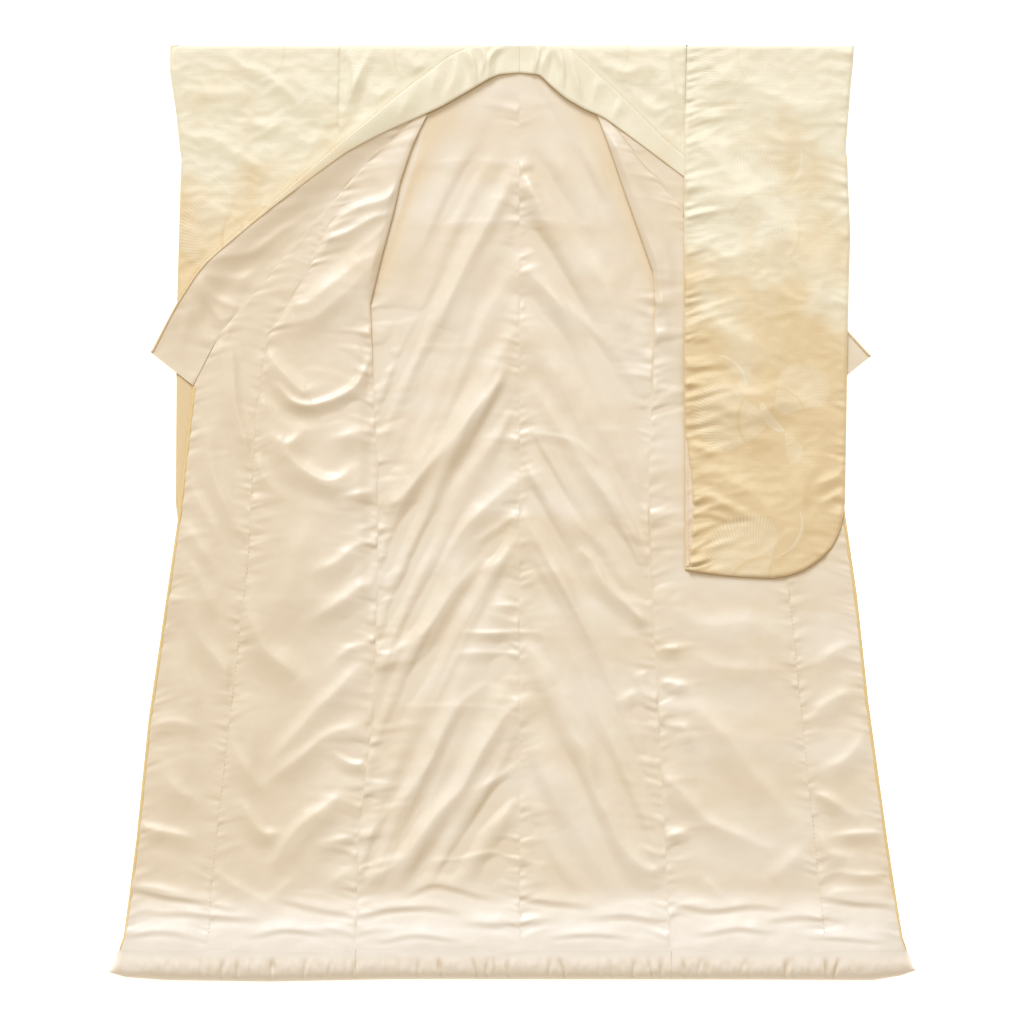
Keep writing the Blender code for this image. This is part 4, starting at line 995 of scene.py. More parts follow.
class NodeSketch:
    """Short ways to lay out a material's nodes."""

    def __init__(self, tree: bpy.types.NodeTree) -> None:
        """Args:
            tree: The node tree to fill.
        """
        self.tree = tree

    def node(self, kind: str, **settings: object) -> bpy.types.Node:
        """A new node with its settings."""
        made = self.tree.nodes.new(kind)
        for name, value in settings.items():
            setattr(made, name, value)
        return made

    def feed(self, socket: bpy.types.NodeSocket, value: object) -> None:
        """Link a socket to another, or set its plain value."""
        if isinstance(value, bpy.types.NodeSocket):
            self.tree.links.new(value, socket)
        else:
            socket.default_value = value

    def fill(self, made: bpy.types.Node, values: Dict[str, object]) -> None:
        """Link or set several of a node's sockets by their names."""
        for name, value in values.items():
            self.feed(made.inputs[name], value)

    def split(self, plan: object) -> Tuple[bpy.types.NodeSocket, bpy.types.NodeSocket]:
        """The across and up coordinates of a plan position."""
        made = self.node("ShaderNodeSeparateXYZ")
        self.feed(made.inputs[0], plan)
        return made.outputs["X"], made.outputs["Y"]

    def joined(self, across: object, up: object) -> bpy.types.NodeSocket:
        """A plan position from its coordinates."""
        made = self.node("ShaderNodeCombineXYZ")
        self.feed(made.inputs[0], across)
        self.feed(made.inputs[1], up)
        return made.outputs[0]

    def group(self, tree: bpy.types.NodeTree, values: Dict[str, object]) -> object:
        """The outputs of a group of nodes that is given its values."""
        made = self.node("ShaderNodeGroup", node_tree=tree)
        self.fill(made, values)
        return made.outputs

    def math(self, operation: str, *values: object, clamp: bool = False) -> bpy.types.NodeSocket:
        """The result of a Math node.

        Args:
            operation: Blender's name of it.
            values: Sockets or numbers.
            clamp: True to keep the result from 0 to 1.

        Returns:
            The result's socket.
        """
        made = self.node("ShaderNodeMath", operation=operation, use_clamp=clamp)
        for socket, value in zip(made.inputs, values):
            self.feed(socket, value)
        return made.outputs[0]

    def rise(self, value: object, low: object, high: object, start: float = 0.0,
             end: float = 1.0) -> bpy.types.NodeSocket:
        """A soft rise from start to end as value goes from low to high.

        Args:
            value: The socket to read.
            low: Where the rise starts.
            high: Where it ends.
            start: The result below low.
            end: The result above high.

        Returns:
            The result's socket.
        """
        made = self.node("ShaderNodeMapRange", interpolation_type="SMOOTHSTEP")
        self.fill(made, {"Value": value, "From Min": low, "From Max": high, "To Min": start,
                         "To Max": end})
        return made.outputs["Result"]

    def blend(self, share: object, first: object, second: object,
              kind: str = "MIX") -> bpy.types.NodeSocket:
        """A mix of two colours.

        Args:
            share: How much of the second.
            first: Colour or socket.
            second: Colour or socket.
            kind: Blender's name of the blend.

        Returns:
            The mixed colour's socket.
        """
        made = self.node("ShaderNodeMix", data_type="RGBA", blend_type=kind)
        self.feed(made.inputs[0], share)
        for socket, value in ((made.inputs[6], first), (made.inputs[7], second)):
            self.feed(socket, (*value, 1.0) if isinstance(value, tuple) else value)
        return made.outputs[2]

    def noise(self, plan: object, scale: float, detail: float = 2.0,
              roughness: float = 0.5) -> bpy.types.NodeSocket:
        """Noise from 0 to 1 at a scale in cells per metre.

        Args:
            plan: The coordinates.
            scale: Cells per metre.
            detail: How many finer layers it has.
            roughness: How strong those are.

        Returns:
            The noise's socket.
        """
        made = self.node("ShaderNodeTexNoise")
        self.fill(made, {"Vector": plan, "Scale": scale, "Detail": detail,
                         "Roughness": roughness})
        return made.outputs["Fac"]

    def stretched(self, plan: object, scale: Tuple[float, float, float]) -> bpy.types.NodeSocket:
        """Coordinates stretched by a factor along each axis."""
        made = self.node("ShaderNodeMapping")
        self.fill(made, {"Vector": plan, "Scale": scale})
        return made.outputs["Vector"]


class Paint(NodeSketch):
    """A new material that is being laid out, with its shader and plan coordinates."""

    def __init__(self, name: str) -> None:
        """Args:
            name: The material's name.
        """
        self.made = bpy.data.materials.new(name)
        self.made.use_nodes = True
        super().__init__(self.made.node_tree)
        self.shader = self.tree.nodes["Principled BSDF"]
        self.plan = self.node("ShaderNodeTexCoord").outputs["Object"]

    def finish(self, tone: Colour, height: object, strength: float, sheen: float,
               thick: float = 0.001) -> bpy.types.Material:
        """Add the relief of the weave and the sheen, and hand the material over.

        Args:
            tone: Its plain colour.
            height: The weave's height.
            strength: How strong its relief is.
            sheen: How much it shimmers.
            thick: How deep the relief is, in metres.

        Returns:
            The material.
        """
        bump = self.node("ShaderNodeBump")
        self.fill(bump, {"Strength": strength, "Distance": thick, "Height": height})
        self.fill(self.shader, {"Normal": bump.outputs["Normal"], "Sheen Weight": sheen})
        self.made.diffuse_color = (*tone, 1.0)
        return self.made


def weave_height(pen: NodeSketch, plan: object, threads: float) -> bpy.types.NodeSocket:
    """Height of a fine weave: weft threads that run across, with slubs.

    Args:
        pen: The tree being laid out.
        plan: The coordinates.
        threads: Weft threads per metre.

    Returns:
        The height's socket, from 0 to 1.
    """
    x, y = pen.split(plan)
    wander = pen.noise(pen.stretched(plan, (6.0, 60.0, 1.0)), 1.0, 2.0)
    weft = pen.math("SINE", pen.math("MULTIPLY_ADD", y, threads * 2.0 * math.pi,
                                     pen.math("MULTIPLY", wander, 3.0)))
    warp = pen.math("SINE", pen.math("MULTIPLY", x, threads * 2.6 * math.pi))
    slub = pen.noise(pen.stretched(plan, (40.0, 900.0, 1.0)), 1.0, 2.0)
    cloth = pen.math("MULTIPLY_ADD", warp, 0.25, pen.math("MULTIPLY", weft, 0.5))
    return pen.math("MULTIPLY_ADD", slub, 0.8, cloth)


def begin_group(name: str, wanted: Sequence[str], given: Sequence[str]) -> NodeSketch:
    """A new group of nodes that takes a plan position and some numbers.

    Args:
        name: The group's name.
        wanted: The numbers that it takes.
        given: The numbers that it gives.

    Returns:
        The sketch of its tree.
    """
    tree = bpy.data.node_groups.new(name, "ShaderNodeTree")
    face = tree.interface
    face.new_socket("Plan", in_out="INPUT", socket_type="NodeSocketVector")
    for names, way in ((wanted, "INPUT"), (given, "OUTPUT")):
        for socket in names:
            face.new_socket(socket, in_out=way, socket_type="NodeSocketFloat")
    return NodeSketch(tree)


def feather_fan() -> bpy.types.NodeTree:
    """A fan of feathers for the brocade, as a group of nodes.

    Returns:
        A group that takes a plan position and the fan's place, turn, reach and spread,
        and gives how much of the figure and of a feather's body is there.
    """
    pen = begin_group("feather_fan", ("Across", "Up", "Turn", "Reach", "Spread", "Feathers"),
                      ("Figure", "Body"))
    given = pen.node("NodeGroupInput").outputs
    away = pen.node("ShaderNodeVectorMath", operation="SUBTRACT")
    pen.feed(away.inputs[0], given["Plan"])
    pen.feed(away.inputs[1], pen.joined(given["Across"], given["Up"]))
    turned = pen.node("ShaderNodeVectorRotate", rotation_type="Z_AXIS")
    pen.fill(turned, {"Vector": away.outputs[0],
                      "Angle": pen.math("MULTIPLY", given["Turn"], -1.0)})
    x, y = pen.split(turned.outputs[0])
    radius = pen.math("SQRT", pen.math("ADD", pen.math("MULTIPLY", x, x),
                                       pen.math("MULTIPLY", y, y)))
    # The fan's lines curve, so the angle leans with the radius
    lean = pen.math("DIVIDE", radius, given["Reach"])
    angle = pen.math("MULTIPLY_ADD", lean, 0.28, pen.math("ARCTAN2", y, x))
    share = pen.math("DIVIDE", angle, given["Spread"])
    wide = pen.math("ABSOLUTE", share)
    tooth = pen.math("ABSOLUTE", pen.math("SINE", pen.math(
        "MULTIPLY", pen.math("MULTIPLY", share, given["Feathers"]), math.pi / 2.0)))
    curve = pen.math("MULTIPLY_ADD", pen.math("MULTIPLY", share, share), -0.26, 0.86)
    rim = pen.math("MULTIPLY", pen.math("MULTIPLY_ADD", tooth, 0.14, curve), given["Reach"])
    inside = pen.rise(pen.math("SUBTRACT", rim, radius), -0.001, 0.003)
    inside = pen.math("MULTIPLY", inside, pen.rise(wide, 1.0, 0.94))
    inside = pen.math("MULTIPLY", inside, pen.rise(lean, 0.1, 0.16))
    body = pen.rise(tooth, 0.05, 0.55)
    tier = pen.math("MULTIPLY", pen.rise(lean, 0.42, 0.44), pen.rise(lean, 0.48, 0.45))
    body = pen.math("SUBTRACT", body, pen.math("MULTIPLY", tier, 0.8), clamp=True)
    pen.fill(pen.node("NodeGroupOutput"), {"Figure": inside,
                                           "Body": pen.math("MULTIPLY", inside, body)})
    return pen.tree


def curved_stroke() -> bpy.types.NodeTree:
    """A curved stroke that thins out, for a crane's neck and body, as a group of nodes.

    Returns:
        A group that takes a plan position and the arc's centre, turn, radius, spread and
        width, and gives how much of the stroke is there.
    """
    pen = begin_group("curved_stroke", ("Across", "Up", "Turn", "Radius", "Spread", "Width"),
                      ("Figure",))
    given = pen.node("NodeGroupInput").outputs
    x, y = pen.split(given["Plan"])
    x, y = pen.math("SUBTRACT", x, given["Across"]), pen.math("SUBTRACT", y, given["Up"])
    radius = pen.math("SQRT", pen.math("ADD", pen.math("MULTIPLY", x, x),
                                       pen.math("MULTIPLY", y, y)))
    angle = pen.math("SUBTRACT", pen.math("ARCTAN2", y, x), given["Turn"])
    angle = pen.math("WRAP", angle, math.pi, -math.pi)
    share = pen.math("DIVIDE", angle, given["Spread"])
    thin = pen.math("SUBTRACT", 1.0, pen.math("MULTIPLY", share, share), clamp=True)
    half = pen.math("MULTIPLY", pen.math("SQRT", thin), given["Width"])
    away = pen.math("ABSOLUTE", pen.math("SUBTRACT", radius, given["Radius"]))
    pen.fill(pen.node("NodeGroupOutput"),
             {"Figure": pen.rise(pen.math("SUBTRACT", half, away), 0.0, 0.0015)})
    return pen.tree


@dataclass(frozen=True)
class TurnedEdge:
    """A straight fold in the plan: a place on it and the way inwards, in metres."""

    x: float
    y: float
    inward_x: float
    inward_y: float


# The turned fronts' folds, beside which shade is painted into the back's lining
TURNED_EDGES = (TurnedEdge(-0.1625, 0.785, 0.956, -0.295),
                TurnedEdge(0.170, 0.785, -0.943, -0.333))


@dataclass(frozen=True)
class SatinFinish:
    """Ivory silk satin with a soft sheen."""

    light: Colour = (0.775, 0.695, 0.595)
    warm: Colour = (0.725, 0.61, 0.465)
    hem: Colour = (0.745, 0.675, 0.60)
    # lighter tone of the roll's lower side, painted light lifting its shade where it rounds down
    # to the floor
    roll: Colour = (0.83, 0.75, 0.66)
    # colour of the painted shade: in hollows, under standing cloth and beside the turned fronts
    shade: Colour = (0.735, 0.575, 0.36)
    roughness: float = 0.36
    sheen: float = 0.2
    threads: float = 1500.0
    bump: float = 0.12

    def painted_shade_beside_turned(self, pen: NodeSketch, x: object, y: object) -> bpy.types.NodeSocket:
        """Painted shade: how much of the golden shade colour is painted on the back's lining
        beside the turned fronts.

        Args:
            pen: The tree being laid out.
            x: The plan coordinate across.
            y: The plan coordinate up.

        Returns:
            From 0 to 0.6, wider near the collar.
        """
        total = None
        for edge in TURNED_EDGES:
            off = edge.x * edge.inward_x + edge.y * edge.inward_y
            along = pen.math("MULTIPLY_ADD", y, edge.inward_y, -off)
            inside = pen.math("MULTIPLY_ADD", x, edge.inward_x, along)
            reach = pen.math("MULTIPLY_ADD", pen.rise(y, 0.55, 0.85), 0.06, 0.032)
            near = pen.rise(pen.math("DIVIDE", inside, reach), 1.0, 0.0)
            near = pen.math("MULTIPLY", near, pen.rise(inside, -0.003, 0.0))
            near = pen.math("MULTIPLY", near, pen.rise(y, 0.38, 0.5))
            total = near if total is None else pen.math("MAXIMUM", total, near)
        return pen.math("MULTIPLY", total, 0.6)

    def material(self, name: str) -> bpy.types.Material:
        """The finish as a node material of the given name."""
        pen = Paint(name)
        plan = pen.plan
        cloudy = pen.noise(plan, 5.0, 3.0, 0.55)
        bands = pen.noise(pen.stretched(plan, (1.5, 14.0, 1.0)), 1.0, 2.0)
        tone = pen.rise(pen.math("MULTIPLY_ADD", bands, 0.45, pen.math("MULTIPLY", cloudy, 0.6)),
                        0.34, 0.72)
        x, y = pen.split(plan)
        # Towards the hem the satin turns to a darker, cooler tone, and on the roll's lower side
        # to a lighter one, painted light lifting the shade there
        hem = pen.rise(y, -0.7, -0.84)
        # Painted shade: the satin turns to its warm tone towards the left front, for the shade of
        # its many folds
        painted_shade_left = pen.math("MULTIPLY", pen.rise(x, -0.2, -0.48), 0.9)
        toned = pen.blend(pen.math("MAXIMUM", tone, painted_shade_left), self.light, self.warm)
        below = pen.blend(pen.rise(y, -0.865, -0.885), self.hem, self.roll)
        # Painted shade: ambient occlusion darkens the satin's colour towards the shade colour in
        # hollows and under cloth that stands over it
        covered = pen.node("ShaderNodeAmbientOcclusion")
        covered.samples = 4
        covered.inputs["Distance"].default_value = SHADE_REACH
        painted_shade_share = pen.math("MAXIMUM", pen.rise(covered.outputs["AO"], 0.98, 0.45),
                       self.painted_shade_beside_turned(pen, x, y))
        shine = pen.noise(pen.stretched(plan, (9.0, 40.0, 1.0)), 1.0, 3.0)
        pen.fill(pen.shader, {
            "Base Color": pen.blend(painted_shade_share, pen.blend(hem, toned, below), self.shade),
            "Roughness": pen.math("MULTIPLY_ADD", shine, 0.14, self.roughness - 0.07),
            "Sheen Roughness": SHEEN_ROUGHNESS, "Sheen Tint": (1.0, 0.97, 0.9, 1.0),
            "Specular IOR Level": 0.75})
        height = weave_height(pen, plan, self.threads)
        creases = pen.noise(pen.stretched(plan, (45.0, 70.0, 1.0)), 1.0, 3.0, 0.6)
        height = pen.math("MULTIPLY_ADD", creases, 2.6, height)
        return pen.finish(self.light, height, self.bump, self.sheen)


@dataclass(frozen=True)
class BrocadeFinish:
    """Cream-gold silk brocade with tone-on-tone cranes in a half-drop repeat."""

    ground: Colour = (0.81, 0.745, 0.585)
    # deep: darker gold of the figure's lines, and of the painted shade towards the bottom
    deep: Colour = (0.725, 0.56, 0.33)
    figure: Colour = (0.845, 0.78, 0.63)
    roughness: float = 0.38
    sheen: float = 0.2
    threads: float = 900.0
    bump: float = 0.3
    rib: float = 0.007
    figured: bool = True

    def repeat(self, pen: NodeSketch, plan: object) -> bpy.types.NodeSocket:
        """The place inside the loom's repeat, each next column half a repeat higher.

        Args:
            pen: The tree being laid out.
            plan: The plan coordinates.

        Returns:
            The folded coordinates.
        """
        x, y = pen.split(plan)
        column = pen.math("FLOOR", pen.math("DIVIDE", x, REPEAT_ACROSS))
        lifted = pen.math("MULTIPLY_ADD", column, REPEAT_UP / 2.0, y)
        return pen.joined(pen.math("WRAP", x, REPEAT_ACROSS, 0.0),
                          pen.math("WRAP", lifted, REPEAT_UP, 0.0))

    def crane(self, pen: NodeSketch, plan: object, crane: Motif) -> Tuple[object, object]:
        """One crane: two wings, a tail, a body and a long neck.

        Args:
            pen: The tree being laid out.
            plan: The coordinates inside the repeat.
            crane: Where it flies.

        Returns:
            The sockets of its figure and of its feathers' bodies.
        """
        fan = bpy.data.node_groups.get("feather_fan") or feather_fan()
        stroke = bpy.data.node_groups.get("curved_stroke") or curved_stroke()
        ahead = (math.cos(crane.heading), math.sin(crane.heading))
        figure, body = 0.0, 0.0
        fans = ((1.05, 0.05, 1.3, 0.66, FEATHER_LINES), (-1.2, 0.05, 1.1, 0.6, FEATHER_LINES),
                (math.pi, 0.25, 0.62, 0.36, FEATHER_LINES / 2.0))
        for turn, back, size, spread, lines in fans:
            drawn = pen.group(fan, {
                "Plan": plan, "Across": crane.across - ahead[0] * crane.reach * back,
                "Up": crane.up - ahead[1] * crane.reach * back,
                "Turn": crane.heading + turn, "Reach": crane.reach * size,
                "Spread": spread, "Feathers": lines * 2.0})
            figure = pen.math("MAXIMUM", figure, drawn["Figure"])
            body = pen.math("MAXIMUM", body, drawn["Body"])
        side = crane.heading + math.pi / 2.0
        strokes = ((0.62, 0.55, side, 0.0, 0.5, 0.085),
                   (0.5, 0.42, side + math.pi, 0.95, 0.8, 0.03))
        for radius, away, turn, on, spread, width in strokes:
            centre = (crane.across + crane.reach * (ahead[0] * on - math.cos(turn) * away),
                      crane.up + crane.reach * (ahead[1] * on - math.sin(turn) * away))
            drawn = pen.group(stroke, {
                "Plan": plan, "Across": centre[0], "Up": centre[1], "Turn": turn,
                "Radius": crane.reach * radius, "Spread": spread,
                "Width": crane.reach * width})
            figure = pen.math("MAXIMUM", figure, drawn["Figure"])
            body = pen.math("MAXIMUM", body, drawn["Figure"])
        return figure, body

    def material(self, name: str) -> bpy.types.Material:
        """The finish as a node material of the given name."""
        pen = Paint(name)
        plan = pen.plan
        figure, body = 0.0, 0.0
        if self.figured:
            folded = self.repeat(pen, plan)
            for crane in CRANES:
                found, feathers = self.crane(pen, folded, crane)
                figure = pen.math("MAXIMUM", figure, found)
                body = pen.math("MAXIMUM", body, feathers)
        x, y = pen.split(plan)
        # Painted light and shade: lighter gold towards the top, deeper towards the bottom and a
        # little to the left, with a random mottle that also stands in for patches of sheen
        fall = pen.math("MULTIPLY_ADD", x, -0.25, pen.math("MULTIPLY", y, -1.9))
        cloudy = pen.noise(plan, 6.0, 3.0, 0.5)
        painted_sheen_and_shade = pen.rise(pen.math("MULTIPLY_ADD", cloudy, 2.4, fall), -0.35, 0.52)
        ground = pen.blend(painted_sheen_and_shade, self.ground, self.deep)
        toned = pen.blend(pen.math("MULTIPLY", body, 0.36), ground, self.figure)
        toned = pen.blend(pen.math("MULTIPLY", pen.math("SUBTRACT", figure, body, clamp=True),
                                   0.28), toned, self.deep)
        shine = pen.noise(pen.stretched(plan, (12.0, 34.0, 1.0)), 1.0, 3.0)
        rough = pen.math("MULTIPLY_ADD", shine, 0.16, self.roughness - 0.08)
        pen.fill(pen.shader, {
            "Base Color": toned, "Roughness": pen.math("MULTIPLY_ADD", body, 0.1, rough),
            "Sheen Roughness": SHEEN_ROUGHNESS, "Sheen Tint": (1.0, 0.93, 0.75, 1.0),
            "Specular IOR Level": 0.6})
        height = weave_height(pen, plan, self.threads)
        ribs = pen.math("SINE", pen.math("MULTIPLY", y, 2.0 * math.pi / self.rib))
        height = pen.math("MULTIPLY_ADD", ribs, 0.14, height)
        height = pen.math("MULTIPLY_ADD", body, 1.1, height)
        creases = pen.noise(pen.stretched(plan, (30.0, 55.0, 1.0)), 1.0, 3.0, 0.6)
        height = pen.math("MULTIPLY_ADD", creases, 2.0, height)
        return pen.finish(self.ground, height, self.bump, self.sheen)


@dataclass(frozen=True)
class ThreadFinish:
    """Twisted silk sewing thread."""

    colour: Colour = (0.84, 0.70, 0.44)
    shade: Colour = (0.70, 0.54, 0.30)
    roughness: float = 0.45
    twist: float = 2600.0
    relief: float = 0.3
    relief_depth: float = 0.0002
    sheen: float = 0.3

    def material(self, name: str) -> bpy.types.Material:
        """The finish as a node material of the given name."""
        pen = Paint(name)
        slant = pen.math("ADD", *pen.split(pen.plan))
        ply = pen.math("SINE", pen.math("MULTIPLY", slant, self.twist))
        lit = pen.rise(ply, -1.0, 1.0)
        pen.fill(pen.shader, {"Base Color": pen.blend(lit, self.shade, self.colour),
                              "Roughness": pen.math("MULTIPLY_ADD", lit, 0.1, self.roughness)})
        return pen.finish(self.colour, ply, self.relief, self.sheen, self.relief_depth)


@dataclass
class Wardrobe:
    """The garment's materials, each made once."""

    satin: SatinFinish = SatinFinish()
    padded: SatinFinish = SatinFinish()
    strip: SatinFinish = SatinFinish(light=(0.77, 0.66, 0.54), warm=(0.72, 0.57, 0.42))
    brocade: BrocadeFinish = BrocadeFinish()
    edging: BrocadeFinish = BrocadeFinish(ground=(0.85, 0.69, 0.38), deep=(0.74, 0.55, 0.26),
                                           figured=False)
    thread: ThreadFinish = ThreadFinish()
    seam_thread: ThreadFinish = ThreadFinish((0.66, 0.53, 0.38), (0.52, 0.39, 0.26))
    made: Dict[str, bpy.types.Material] = field(default_factory=dict)

    def get(self, name: str) -> bpy.types.Material:
        """The material of one of the finishes, by its field's name."""
        if name not in self.made:
            self.made[name] = getattr(self, name).material("cloth_" + name)
        return self.made[name]


def mesh_object(name: str, points: Grid, faces: List[Tuple[int, ...]],
                material: bpy.types.Material) -> bpy.types.Object:
    """A smooth-shaded mesh object in the scene.

    Args:
        name: The piece's name.
        points: Its vertices in metres.
        faces: Its faces.
        material: Its material.

    Returns:
        The object.
    """
    mesh = bpy.data.meshes.new(name)
    mesh.from_pydata([tuple(p) for p in np.asarray(points).reshape(-1, 3).tolist()], [], faces)
    mesh.polygons.foreach_set("use_smooth", [True] * len(mesh.polygons))
    mesh.materials.append(material)
    mesh.update()
    made = bpy.data.objects.new(name, mesh)
    bpy.context.scene.collection.objects.link(made)
    return made


def grid_faces(rows: int, cols: int, first: int = 0, flip: bool = False) -> List[Tuple[int, ...]]:
    """Quads over a grid of vertices.

    Args:
        rows: How many rows of vertices.
        cols: How many in each row.
        first: Index of the first vertex.
        flip: True to turn the faces over.

    Returns:
        The quads.
    """
    start = (np.arange(rows - 1)[:, None] * cols + np.arange(cols - 1)[None, :]).ravel() + first
    corners = (start, start + 1, start + cols + 1, start + cols)
    if flip:
        corners = corners[::-1]
    return [tuple(quad) for quad in np.stack(corners, -1).tolist()]


def border_of(rows: int, cols: int) -> Grid:
    """Indices of a grid's border vertices, in order round it."""
    index = np.arange(rows * cols).reshape(rows, cols)
    return np.concatenate((index[0, :], index[1:, -1], index[-1, -2::-1], index[-2:0:-1, 0]))


def outward(made: bpy.types.Object) -> None:
    """Turn a closed piece's faces outwards."""
    shape = bmesh.new()
    shape.from_mesh(made.data)
    bmesh.ops.recalc_face_normals(shape, faces=shape.faces)
    shape.to_mesh(made.data)
    shape.free()


def tube_object(name: str, points: Grid, material: bpy.types.Material,
                flat_from: int = 10 ** 6) -> bpy.types.Object:
    """A closed tube through rings of points, with flat ends of their own.

    Args:
        name: The piece's name.
        points: Vertices in metres, (rings, points of a ring, 3).
        material: Its material.
        flat_from: The place round each ring from which the faces are flat.

    Returns:
        The object.
    """
    rings, sides = points.shape[:2]
    index = np.arange(rings * sides).reshape(rings, sides)
    around = np.roll(index, -1, axis=1)
    quads = np.stack((index[:-1], around[:-1], around[1:], index[1:]), -1).reshape(-1, 4)
    faces = [tuple(quad) for quad in quads.tolist()]
    faces.append(tuple(index[0, ::-1].tolist()))
    faces.append(tuple(index[-1].tolist()))
    made = mesh_object(name, points, faces, material)
    soft = np.tile(np.arange(sides) < flat_from, rings - 1)
    made.data.polygons.foreach_set("use_smooth", [*soft.tolist(), False, False])
    outward(made)
    return made


def declare(made: bpy.types.Object, slot: Slot, *nodes: str) -> None:
    """Attach a piece to the root and hide the nodes that it replaces.

    Args:
        made: The piece.
        slot: Not used.
        nodes: The nodes that it replaces.
    """
    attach(made, "root")
    if nodes:
        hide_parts(*nodes)


def ordered(side: Side, outer: Rail, inner: Rail) -> Tuple[Rail, Rail]:
    """A half's outer and inner rails, from left to right."""
    return (outer, inner) if side is Side.LEFT else (inner, outer)


@dataclass
class Panel:
    """A cloth panel between two rails, as a dense shell with a turned-down rim."""

    name: str
    nodes: Tuple[str, ...]
    left: Rail
    right: Rail
    span: Tuple[float, float]
    top: Surface
    cell: Tuple[float, float] = FINE_CELL
    rim: float = LINING
    slot: Slot = Slot.LINING
    rests_on: Tuple[str, ...] = ()
    closed: bool = False
    lap: float = 0.0

    def grid(self) -> Tuple[Grid, Grid]:
        """The plan positions of the shell's vertices, as (across, up) grids."""
        coarse = 1.0
        rows = max(2, round((self.span[1] - self.span[0]) / self.cell[1] / coarse)) + 1
        ups = np.linspace(self.span[0], self.span[1], rows)
        starts, ends = self.left.at(ups), self.right.at(ups)
        cols = max(2, round(float((ends - starts).max()) / self.cell[0] / coarse)) + 1
        share = np.linspace(0.0, 1.0, cols)[None, :]
        across = starts[:, None] + (ends - starts)[:, None] * share
        return across, np.broadcast_to(ups[:, None], across.shape).copy()

    def build(self, material: bpy.types.Material) -> None:
        """Args:
            material: Its cloth.
        """
        across, up = self.grid()
        height = self.top(across, up)
        rows, cols = across.shape
        across = across + self.lap * np.linspace(-1.0, 1.0, cols)[None, :]
        over = place(across, up, height).reshape(-1, 3)
        border = border_of(rows, cols)
        rim_top = over[border]
        rim_low = rim_top - np.array([0.0, 0.0, self.rim * MM])
        count, ring = len(over), len(border)
        faces = grid_faces(rows, cols)
        step = np.arange(ring)
        after = (step + 1) % ring
        sides = np.stack((count + after, count + step, count + ring + step,
                          count + ring + after), -1)
        faces += [tuple(quad) for quad in sides.tolist()]
        points = np.concatenate((over, rim_top, rim_low))
        if self.closed:
            under = over - np.array([0.0, 0.0, self.rim * MM])
            faces += grid_faces(rows, cols, len(points), flip=True)
            points = np.concatenate((points, under))
        made = mesh_object(self.name, points, faces, material)
        declare(made, self.slot, *self.nodes)


def lining_top(level: Surface, creases: Sequence[Fold], left: Rail, right: Rail, reach: float,
               seams: Sequence[Pucker], shown: Optional[Surface] = None,
               extra: Optional[Surface] = None, raised: float = 0.0) -> Surface:
    """The top surface of a lining panel.

    Args:
        level: Height of the outer cloth below it.
        creases: Its folds.
        left: Where its folds end on the left.
        right: Where they end on the right.
        reach: Over how many centimetres they fade there.
        seams: The seams that draw it in.
        shown: Where its folds show, if not everywhere.
        extra: More loose height to add to the folds.
        raised: How far it lies above the panel that it laps over, in millimetres.

    Returns:
        Height in millimetres over plan positions.
    """
    def height(across: Grid, up: Grid) -> Grid:
        """Height of the panel's top."""
        inside = fade(across, up, left, right, reach)
        if shown:
            inside = inside * shown(across, up)
        band = 1.0 - smooth(*BAND_END, up)
        loose = relief(creases, across, up) * (1.0 - 0.5 * band) + waves(across, up)
        if extra:
            loose = loose + extra(across, up) * (1.0 - band)
        hem = WRINKLE_GAIN * relief(HEM_WRINKLES, across, up, HEM_LEAN)
        drawn = sum(seam.height(across, up) for seam in seams) * smooth(*SEAMS_START, up)
        open_hem = smooth(PANEL_BOTTOM, PANEL_BOTTOM + HEM_EASE, up)
        lifted = (inside * loose + hem + drawn) * open_hem * clear_of_collar(across, up)
        lifted = np.maximum(lifted, LINING_DIP)
        low = level(across, up)
        standing = smooth(0.5, 3.0, low) * (turned_billow(across, up) + collar_billow(across, up))
        return low + ON_OUTER + LINING + lifted + padded_rise(across, up) + standing + raised
    return height


